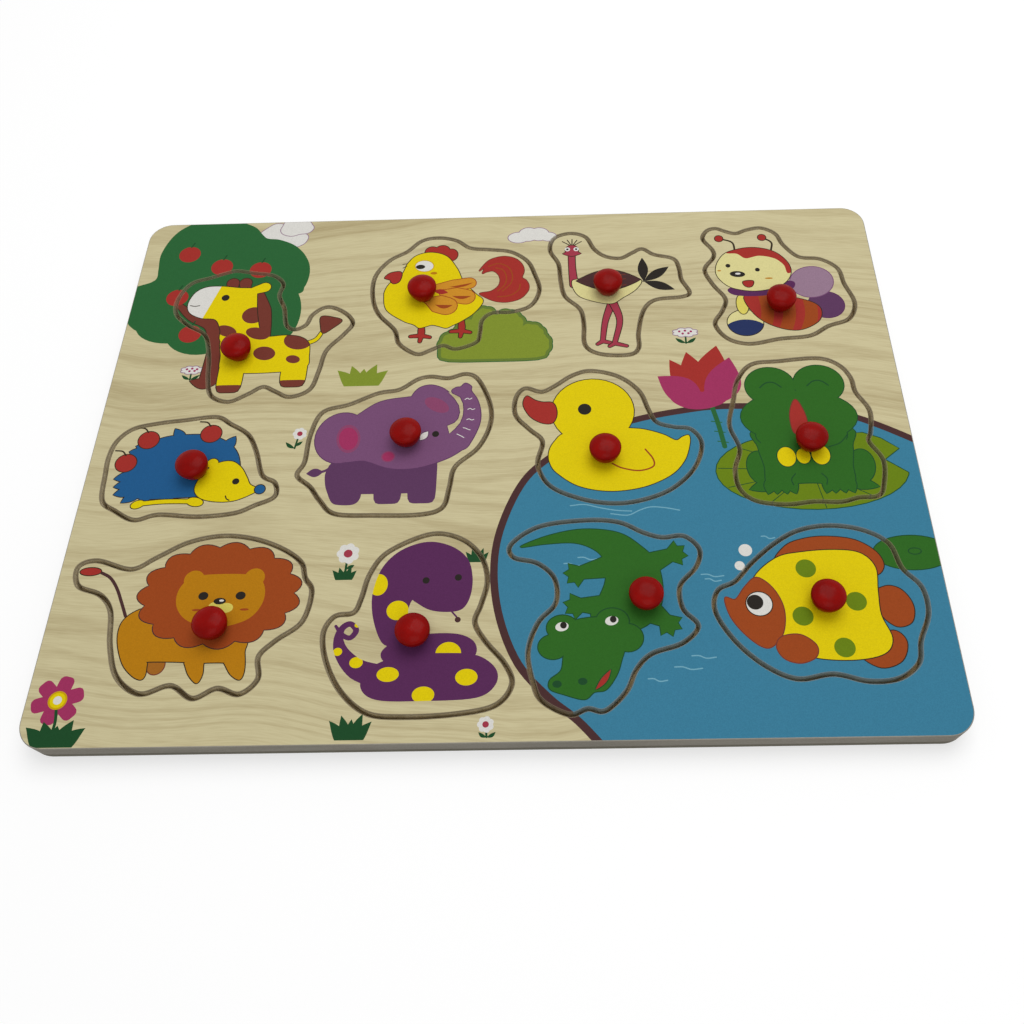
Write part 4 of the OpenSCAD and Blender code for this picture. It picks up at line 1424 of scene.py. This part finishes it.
class SharedGroup:
    """A node group that several materials share: a pattern in a pale and a dark colour."""

    title: str
    inputs: dict[str, str] = {"Vector": "NodeSocketVector", "Streaks": "NodeSocketVector",
                              "Pale": "NodeSocketColor", "Dark": "NodeSocketColor"}
    outputs: dict[str, str] = {"Color": "NodeSocketColor", "Relief": "NodeSocketFloat"}

    @classmethod
    def group(cls) -> bpy.types.NodeTree:
        """Returns the group, made on the first call."""
        return bpy.data.node_groups.get(cls.title) or cls.build()

    @classmethod
    def build(cls) -> bpy.types.NodeTree:
        """Starts a group with its sockets and lets the kind fill it.

        Returns:
            The new group.
        """
        tree = bpy.data.node_groups.new(cls.title, "ShaderNodeTree")
        for name, kind in cls.inputs.items():
            tree.interface.new_socket(name, in_out="INPUT", socket_type=kind)
        for name, kind in cls.outputs.items():
            tree.interface.new_socket(name, in_out="OUTPUT", socket_type=kind)
        sheet = NodeSheet(tree)
        given = sheet.add("NodeGroupInput", {}).outputs
        sheet.add("NodeGroupOutput", cls.fill(sheet, given))
        return tree

    @classmethod
    def fill(cls, sheet: NodeSheet, given: Any) -> dict[str, Any]:
        """Adds the pattern and returns what goes to each output; each kind adds its own."""
        raise NotImplementedError


class WoodGrain(SharedGroup):
    """Wood along its grain: streaks, growth lines and fibres; stretches per metre, reach in metres."""

    title = "wood_grain"
    sway: Triple = (9, 4, 4)
    sway_reach: float = 0.008
    streak_span: Pair = (0.48, 0.76)
    streak_shade: float = 0.38
    rings: Triple = (1.2, 30, 30)
    ring_turn: float = 120
    ring_span: Pair = (0.1, 1)
    ring_shade: float = 0.22
    fibres: Triple = (110, 2000, 2000)
    fibre_shade: Pair = (-0.1, 0.22)

    @classmethod
    def fill(cls, sheet: NodeSheet, given: Any) -> dict[str, Any]:
        """Adds broad streaks, thin growth lines and fine fibres, which darken the pale colour and sway.

        Args:
            sheet: The group's tree.
            given: What the group is given.

        Returns:
            The colour, and the fibres as relief.
        """
        swayed = sheet.noise(given["Vector"], cls.sway, detail=1)
        bend = sheet.remap(swayed, *NOISE_SOFT, -cls.sway_reach, cls.sway_reach)
        aside = sheet.add("ShaderNodeCombineXYZ", {"Y": bend}).outputs[0]
        moved = {0: given["Vector"], 1: aside}
        place = sheet.add("ShaderNodeVectorMath", moved, operation="ADD").outputs[0]
        broad = sheet.noise(place, given["Streaks"], detail=4)
        streak = sheet.remap(broad, *cls.streak_span, 0, cls.streak_shade)
        turn = sheet.math("MULTIPLY", sheet.noise(place, cls.rings, detail=1.5), cls.ring_turn)
        growth = sheet.remap(sheet.math("SINE", turn, 0), *cls.ring_span, 0, cls.ring_shade)
        fibre = sheet.noise(place, cls.fibres, detail=3)
        shade = sheet.math("ADD", streak, growth)
        shade = sheet.math("ADD", shade, sheet.remap(fibre, *NOISE_SOFT, *cls.fibre_shade))
        return {"Color": sheet.mix(shade, given["Pale"], given["Dark"]), "Relief": fibre}


class SawnGrain(SharedGroup):
    """Wood across its grain: streaks and speckles; stretches per metre."""

    title = "sawn_grain"
    streak_shade: float = 0.7
    speckles: Triple = (1900, 1900, 1900)
    speckle_shade: Pair = (-0.15, 0.3)

    @classmethod
    def fill(cls, sheet: NodeSheet, given: Any) -> dict[str, Any]:
        """Adds streaks and speckles, which darken the pale colour.

        Args:
            sheet: The group's tree.
            given: What the group is given.

        Returns:
            The colour, and the speckles as relief.
        """
        broad = sheet.noise(given["Vector"], given["Streaks"], detail=3)
        streak = sheet.remap(broad, *NOISE_STRONG, 0, cls.streak_shade)
        speckle = sheet.noise(given["Vector"], cls.speckles, detail=2)
        shade = sheet.math("ADD", streak, sheet.remap(speckle, *NOISE_STRONG, *cls.speckle_shade))
        return {"Color": sheet.mix(shade, given["Pale"], given["Dark"]), "Relief": speckle}


@dataclass(frozen=True, kw_only=True)
class Finish:
    """A finish of the object, which makes one material.

    Its colour lies between a pale and a dark one, in sRGB bytes, and its roughness within a range. Its bump
    has a strength and a depth in metres.
    """

    title: str
    pale: Bytes
    dark: Bytes
    roughness: Pair
    bump: Pair
    specular: float = 0.5
    metallic: float = 0.0

    def material(self) -> bpy.types.Material:
        """Returns the finish's material, made on the first call."""
        return bpy.data.materials.get(self.title) or self.build()

    def build(self) -> bpy.types.Material:
        """Starts a material, lets the finish dress it, and joins it to the output.

        Returns:
            The new material.
        """
        made = bpy.data.materials.new(self.title)
        made.use_nodes = True
        made.node_tree.nodes.clear()
        sheet = NodeSheet(made.node_tree)
        shader = self.dress(sheet)
        sheet.add("ShaderNodeOutputMaterial", {"Surface": shader.outputs[0]})
        made.diffuse_color = linear(*self.pale)
        return made

    def dress(self, sheet: NodeSheet) -> bpy.types.Node:
        """Adds the finish's nodes and returns the shader; each kind adds its own."""
        raise NotImplementedError

    def surface(self, sheet: NodeSheet, colour: Any, gloss: Any, relief: Any) -> bpy.types.Node:
        """Adds the shader.

        Args:
            sheet: The material's tree.
            colour: Colour of the surface.
            gloss: Noise that the roughness follows.
            relief: Noise that the bump follows.

        Returns:
            The shader.
        """
        return sheet.add("ShaderNodeBsdfPrincipled", {
            "Base Color": colour, "Metallic": self.metallic, "Specular IOR Level": self.specular,
            "Roughness": sheet.remap(gloss, *NOISE_SOFT, *self.roughness),
            "Normal": sheet.bump(relief, *self.bump)})


@dataclass(frozen=True, kw_only=True)
class PlainWood(Finish):
    """Bare wood with its grain along X; streaks per metre."""

    roughness: Pair = (0.5, 0.64)
    bump: Pair = (0.15, 0.00006)
    specular: float = 0.04
    streaks: Triple = (5, 90, 90)

    def pattern(self) -> type[SharedGroup]:
        """The group that gives the wood its pattern."""
        return WoodGrain

    def colour(self, sheet: NodeSheet, wood: Any) -> Any:
        """The colour of the surface: here that of the wood alone."""
        return wood

    def dress(self, sheet: NodeSheet) -> bpy.types.Node:
        """Adds the wood's pattern, with its relief in the roughness and the bump.

        Args:
            sheet: The material's tree.

        Returns:
            The shader.
        """
        inputs = {"Vector": sheet.place(), "Streaks": self.streaks,
                  "Pale": linear(*self.pale), "Dark": linear(*self.dark)}
        wood = sheet.add("ShaderNodeGroup", inputs, node_tree=self.pattern().group()).outputs
        return self.surface(sheet, self.colour(sheet, wood["Color"]), wood["Relief"], wood["Relief"])


@dataclass(frozen=True, kw_only=True)
class PrintedWood(PlainWood):
    """Wood with the print on it, read from the mesh's ink colours and their cover; dots per metre."""

    dots: Triple = (2600, 2600, 2600)
    dot_tone: Pair = (0.92, 1.06)

    def colour(self, sheet: NodeSheet, wood: Any) -> Any:
        """The wood's colour under ink, whose fine dots make it a little uneven.

        Args:
            sheet: The material's tree.
            wood: Colour of the wood.

        Returns:
            The colour.
        """
        ink = sheet.ink()
        fine = sheet.noise(sheet.place(), self.dots, detail=2)
        dots = sheet.remap(fine, *NOISE_SOFT, *self.dot_tone)
        tone = sheet.add("ShaderNodeCombineColor", {0: dots, 1: dots, 2: dots}).outputs[0]
        return sheet.mix(ink["Alpha"], wood, sheet.mix(1.0, ink["Color"], tone, "MULTIPLY"))


@dataclass(frozen=True, kw_only=True)
class SawnWood(PlainWood):
    """Wood cut across its grain: streaks along the wall and speckles."""

    roughness: Pair = (0.62, 0.8)
    bump: Pair = (0.25, 0.0001)
    specular: float = 0.1
    streaks: Triple = (50, 50, 260)

    def pattern(self) -> type[SharedGroup]:
        """The group that gives the wood its pattern."""
        return SawnGrain


@dataclass(frozen=True, kw_only=True)
class CutWood(SawnWood):
    """Sawn wood with painted shade along its upper edge, stained by the ink beside it; heights in metres."""

    edge: Bytes
    top: float
    streaks: Triple = (480, 480, 40)
    fade: float = 0.0006
    soak: float = 0.0045
    stain: float = 0.5

    def colour(self, sheet: NodeSheet, wood: Any) -> Any:
        """The wood's colour, with painted shade in the edge's dark colour near the top, under a stain of
        ink.

        Args:
            sheet: The material's tree.
            wood: Colour of the wood.

        Returns:
            The colour.
        """
        height = sheet.add("ShaderNodeSeparateXYZ", {"Vector": sheet.place()}).outputs["Z"]
        # Painted shade: the lit top of the wall takes the dark edge colour, so it looks like a shaded gap
        near = sheet.remap(height, self.top - self.fade, self.top - self.fade / 2, 0, 1)
        soaked = sheet.remap(height, self.top - self.soak, self.top - self.soak / 2, 0, self.stain)
        ink = sheet.ink()
        share = sheet.math("MULTIPLY", ink["Alpha"], soaked)
        return sheet.mix(share, sheet.mix(near, wood, linear(*self.edge)), ink["Color"])


@dataclass(frozen=True, kw_only=True)
class Lacquer(Finish):
    """Thick glossy lacquer with faint waves and a slightly uneven colour; stretches per metre."""

    roughness: Pair = (0.2, 0.28)
    bump: Pair = (0.12, 0.0002)
    specular: float = 0.055
    clouds: Triple = (160, 160, 160)
    waves: Triple = (420, 420, 420)

    def dress(self, sheet: NodeSheet) -> bpy.types.Node:
        """Adds clouds as colour and as the roughness of handled lacquer, and waves as bump.

        Args:
            sheet: The material's tree.

        Returns:
            The shader.
        """
        place = sheet.place()
        cloud = sheet.noise(place, self.clouds, detail=3)
        share = sheet.remap(cloud, *NOISE_STRONG, 0, 1)
        colour = sheet.mix(share, linear(*self.pale), linear(*self.dark))
        return self.surface(sheet, colour, cloud, sheet.noise(place, self.waves, detail=1))


@dataclass(frozen=True, kw_only=True)
class ZincSteel(Finish):
    """Zinc-plated steel with fine scratches; stretches per metre."""

    roughness: Pair = (0.28, 0.46)
    bump: Pair = (0.1, 0.00005)
    metallic: float = 1.0
    clouds: Triple = (700, 700, 700)
    cloud_shade: float = 0.35
    scratches: Triple = (6000, 900, 900)

    def dress(self, sheet: NodeSheet) -> bpy.types.Node:
        """Adds clouded plating as colour, and scratches as roughness and bump.

        Args:
            sheet: The material's tree.

        Returns:
            The shader.
        """
        place = sheet.place()
        cloud = sheet.noise(place, self.clouds, detail=3)
        share = sheet.remap(cloud, *NOISE_SOFT, 0, self.cloud_shade)
        colour = sheet.mix(share, linear(*self.pale), linear(*self.dark))
        scratch = sheet.noise(place, self.scratches, detail=2)
        return self.surface(sheet, colour, scratch, scratch)


@dataclass
class BoardSheet:
    """A sheet of the board with round corners; sizes in mm."""

    node: str
    seam_r: float = 0.15
    corner_steps: int = 12

    def corner_radius(self, outline: Loop) -> float:
        """Radius of the round corners, from the straight run of the outline's back edge."""
        back = outline[outline[:, 1] > outline[:, 1].max() - MERGE_MM]
        return float(outline[:, 0].max() - back[:, 0].max())

    def border(self, node: bpy.types.Object) -> Loop:
        """A rectangle with round corners, counter-clockwise: a quarter circle about each corner's middle.

        Args:
            node: The CAD node's object, for the size and the corners.

        Returns:
            The closed outline.
        """
        low, high = (np.array(corner)[:2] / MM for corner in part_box(node.name))
        corner_r = self.corner_radius(top_outlines(node)[0])
        angle = np.linspace(0, np.pi / 2, self.corner_steps + 1)
        turn = (np.arange(4)[:, None] * np.pi / 2 + angle).ravel()
        side = np.array([(1, 1), (-1, 1), (-1, -1), (1, -1)]).repeat(len(angle), 0)
        half = (high - low) / 2 - corner_r
        return (low + high) / 2 + side * half + corner_r * unit(turn)


@dataclass
class FrameBoard(BoardSheet):
    """The printed frame with its twelve openings."""

    node: str = "frame_board"
    edge_r: float = 0.36
    cut_r: float = 0.38
    refine: int = 3

    def build(self, node: bpy.types.Object, scenery: list[Shape],
              materials: list[bpy.types.Material]) -> None:
        """Builds the frame in place of its CAD node.

        Args:
            node: The CAD node's object, for the outlines and the heights.
            scenery: Shapes of the background.
            materials: Materials in the order of Face.
        """
        low, high = (np.array(corner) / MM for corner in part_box(node.name))
        _, *holes = top_outlines(node)
        side = eased_rows(high[2], low[2], self.edge_r, self.seam_r)
        cut = eased_rows(high[2], low[2], self.cut_r, self.cut_r)
        rims = [Rim(self.border(node), side, Face.EDGE)]
        rims += [Rim(closed_curve(hole, self.refine), cut, Face.CUT) for hole in holes]
        made = Slab(rims, scenery).build("printed_frame", materials)
        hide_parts(node.name)
        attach(made, "board")
        log.info("%s: %d faces", made.name, len(made.data.polygons))


@dataclass
class BackingBoard(BoardSheet):
    """The plain board under the frame."""

    node: str = "backing_board"
    lower_r: float = 0.7

    def build(self, node: bpy.types.Object, materials: list[bpy.types.Material]) -> None:
        """Builds the board in place of its CAD node; it has no print.

        Args:
            node: The CAD node's object, for the outline and the heights.
            materials: Materials in the order of Face.
        """
        low, high = (np.array(corner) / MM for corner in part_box(node.name))
        rows = eased_rows(high[2], low[2], self.seam_r, self.lower_r)
        rim = Rim(self.border(node), rows, Face.EDGE)
        made = Slab([rim]).build("plain_backing", materials)
        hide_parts(node.name)
        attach(made, "board")
        log.info("%s: %d faces", made.name, len(made.data.polygons))


@dataclass
class Knob:
    """A turned and lacquered knob with the screw's hole in its foot; sizes in mm."""

    crown_h: float = 2.6
    foot_d: float = 7.0
    foot_ease: float = 0.2
    hole_r: float = 1.6
    hole_h: float = 5.5
    steps: int = 16
    segments: int = 64

    def outline(self, width: float, height: float) -> np.ndarray:
        """Half outline from the end of the hole round the foot, up the flared stem and over the crown.

        The stem's radius grows as a sine does over a quarter turn, and the crown is a quarter oval.

        Args:
            width: Width of the crown.
            height: Height of the knob.

        Returns:
            Radius and height, one row each, with radius 0 at both ends.
        """
        share = np.linspace(0, 1, self.steps + 1)[1:]
        turn = share * np.pi / 2
        foot_r, stem_h = self.foot_d / 2, height - self.crown_h
        stem = np.column_stack([foot_r + (width / 2 - foot_r) * np.sin(turn), stem_h * share])
        crown = np.column_stack([width / 2 * np.cos(turn), stem_h + self.crown_h * np.sin(turn)])
        hole = [(0, self.hole_h), (self.hole_r, self.hole_h), (self.hole_r, 0), (foot_r - self.foot_ease, 0)]
        return np.vstack([hole, stem, crown])

    def build(self, animal: str, material: bpy.types.Material) -> None:
        """Builds an animal's knob in place of its CAD node: the half outline turned about its axis.

        Args:
            animal: Name of the animal.
            material: The lacquer.
        """
        node = f"{animal}_knob"
        low, high = (np.array(corner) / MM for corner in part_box(node))
        rows = self.outline((high - low)[0], (high - low)[2])
        inner = rows[1:-1]
        circle = unit(even_angles(self.segments))
        heights = np.broadcast_to(inner[:, 1:, None], (len(inner), len(circle), 1))
        grid = np.concatenate([inner[:, None, :1] * circle, heights], 2)
        poles = np.array([(0, 0, rows[0, 1]), (0, 0, rows[-1, 1])])
        base = np.array([*(low + high)[:2] / 2, low[2]])
        numbers = np.arange(len(inner) * self.segments).reshape(len(inner), -1)
        after = np.roll(numbers, -1, 1)
        bands = np.stack([numbers[:-1], after[:-1], after[1:], numbers[1:]], -1).reshape(-1, 4)
        count = numbers.size
        floor = np.stack([np.full(self.segments, count), after[0], numbers[0]], -1)
        crown = np.stack([np.full(self.segments, count + 1), numbers[-1], after[-1]], -1)
        points = np.vstack([grid.reshape(-1, 3), poles]) + base
        made = write_object(f"{animal}_red_knob", points, [Patch(bands), Patch(floor), Patch(crown)],
                            [material])
        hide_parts(node)
        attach(made, animal)
        log.info("%s: %d faces", made.name, len(made.data.polygons))


@dataclass(frozen=True)
class SoftLight:
    """A square soft light that faces the board's middle; sizes in metres and power in watts."""

    name: str
    place: Triple
    power: float
    size: float = 0.8

    def build(self) -> None:
        """Builds the light."""
        lamp = bpy.data.lights.new(self.name, "AREA")
        lamp.size = self.size
        lamp.energy = self.power
        made = bpy.data.objects.new(self.name, lamp)
        made.location = self.place
        made.rotation_euler = (-Vector(self.place)).to_track_quat("-Z", "Y").to_euler()
        bpy.context.scene.collection.objects.link(made)


@dataclass
class Studio:
    """A white table under soft lights from behind and from the front, seen as in the photo; in metres."""

    location: Triple = (0.02621, -0.19276, 0.29968)
    ahead: Triple = (-0.01995, 0.48225, -0.87581)
    upward: Triple = (0.01925, 0.87600, 0.48192)
    sensor_mm: float = 36.0
    lens_mm: float = 33.4
    shift: Pair = (-0.0400, 0.0037)
    nearest: float = 0.01
    lights: tuple[SoftLight, ...] = (SoftLight("back_softbox", (0.16, 0.36, 0.93), 5.6),
                                     SoftLight("front_fill", (0.14, -0.74, 1.1), 2.9))
    white: Colour = (1.0, 1.0, 1.0, 1.0)
    ambient: float = 0.45
    floor_half: float = 4.0
    floor_gap: float = 0.00002
    floor_clear: float = 0.0002
    floor_tone: float = 0.45
    floor_roughness: float = 0.9
    floor_glow: float = 0.57

    def build(self) -> None:
        """Builds the floor, the world, the lights and the camera."""
        self.build_floor()
        self.build_world()
        for light in self.lights:
            light.build()
        self.build_camera()
        log.info("studio: floor, world, %d lights and a camera", len(self.lights))

    def seen(self, sheet: NodeSheet) -> Any:
        """Adds a value that is 1 for rays from the camera, by a mirror or through glass, and 0 for light.

        Args:
            sheet: Tree of the material or world.

        Returns:
            The value.
        """
        path = sheet.add("ShaderNodeLightPath", {}).outputs
        either = sheet.math("MAXIMUM", path["Is Camera Ray"], path["Is Glossy Ray"])
        return sheet.math("MAXIMUM", either, path["Is Transmission Ray"])

    def build_floor(self) -> None:
        """Builds the white floor, which glows a little where it is seen and keeps the object's shadow.

        It is clear from below and to rays that have only just started, so that the underside can be seen.
        """
        made = bpy.data.materials.new("white_table")
        made.use_nodes = True
        made.node_tree.nodes.clear()
        sheet = NodeSheet(made.node_tree)
        behind = sheet.add("ShaderNodeNewGeometry", {}).outputs["Backfacing"]
        length = sheet.add("ShaderNodeLightPath", {}).outputs["Ray Length"]
        clear = sheet.math("MAXIMUM", behind, sheet.math("LESS_THAN", length, self.floor_clear))
        shader = sheet.add("ShaderNodeBsdfPrincipled", {
            "Base Color": (*[self.floor_tone] * 3, 1.0), "Roughness": self.floor_roughness,
            "Specular IOR Level": 0.0, "Alpha": sheet.math("SUBTRACT", 1.0, clear),
            "Emission Color": self.white,
            "Emission Strength": sheet.math("MULTIPLY", self.seen(sheet), self.floor_glow)})
        sheet.add("ShaderNodeOutputMaterial", {"Surface": shader.outputs[0]})
        half, low = self.floor_half / MM, -self.floor_gap / MM
        corners = np.array([(-half, -half, low), (half, -half, low), (half, half, low), (-half, half, low)])
        floor = write_object("table", corners, [Patch(np.array([[0, 1, 2, 3]]), smooth=False)], [made])

    def build_world(self) -> None:
        """Builds a white world: dim as light, white where it is seen."""
        world = bpy.data.worlds.new("white_room")
        world.use_nodes = True
        world.node_tree.nodes.clear()
        sheet = NodeSheet(world.node_tree)
        strength = sheet.remap(self.seen(sheet), 0, 1, self.ambient, 1)
        glow = sheet.add("ShaderNodeBackground", {"Color": self.white, "Strength": strength})
        sheet.add("ShaderNodeOutputWorld", {"Surface": glow.outputs[0]})
        bpy.context.scene.world = world

    def build_camera(self) -> None:
        """Builds the camera at the place, turn and lens that fit the photo."""
        lens = bpy.data.cameras.new("photo_camera")
        lens.sensor_width = self.sensor_mm
        lens.lens = self.lens_mm
        lens.shift_x, lens.shift_y = self.shift
        lens.clip_start = self.nearest
        made = bpy.data.objects.new("photo_camera", lens)
        ahead, upward = Vector(self.ahead).normalized(), Vector(self.upward)
        right = ahead.cross(upward).normalized()
        turn = Matrix((right, right.cross(ahead), -ahead)).transposed()
        made.matrix_world = Matrix.Translation(self.location) @ turn.to_4x4()
        bpy.context.scene.collection.objects.link(made)
        bpy.context.scene.camera = made


def main() -> None:
    """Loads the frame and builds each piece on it."""
    logging.basicConfig(level=logging.INFO, format="%(message)s")
    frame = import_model()
    nodes = frame["nodes"]
    board = FrameBoard()
    low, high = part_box(board.node)
    sheet_wood = PrintedWood(title="printed_wood", pale=(201, 191, 151), dark=(154, 136, 96)).material()
    # Painted light: the cut walls are pale to lift the shade deep in the gaps; the edge is painted shade
    cut_wood_painted_shading = CutWood(title="sawn_cut_painted_shading", pale=(212, 200, 170), dark=(180, 166, 134),
                       edge=(134, 122, 98), top=high[2]).material()
    side_wood = SawnWood(title="board_side", pale=(158, 153, 142), dark=(144, 139, 128)).material()
    base_wood = SawnWood(title="backing_side", pale=(126, 122, 109), dark=(115, 111, 97)).material()
    back_wood = PlainWood(title="bare_wood", pale=(196, 176, 138), dark=(150, 122, 82)).material()
    lacquer = Lacquer(title="red_lacquer", pale=(141, 10, 6), dark=(124, 7, 4)).material()
    steel = ZincSteel(title="zinc_steel", pale=(196, 196, 192), dark=(120, 118, 112)).material()
    scenery = Scenery().draw(np.array(high - low)[:2] / MM)
    board.build(nodes[board.node], scenery, [sheet_wood, cut_wood_painted_shading, side_wood, back_wood])
    backing = BackingBoard()
    backing.build(nodes[backing.node], [back_wood, cut_wood_painted_shading, base_wood, back_wood])
    knob = Knob()
    for kind in (Giraffe, Hen, Ostrich, Bee, Hedgehog, Elephant, Duck, Frog, Lion, Snake, Crocodile, Fish):
        piece = kind()
        piece.build(nodes[f"{piece.name}_piece"], scenery, [sheet_wood, cut_wood_painted_shading, side_wood, back_wood])
        knob.build(piece.name, lacquer)
        screw = nodes[f"{piece.name}_screw"]
        screw.data.materials.clear()
        screw.data.materials.append(steel)
    Studio().build()
    bpy.context.scene.view_settings.view_transform = "Standard"


if __name__ == "__main__":
    main()
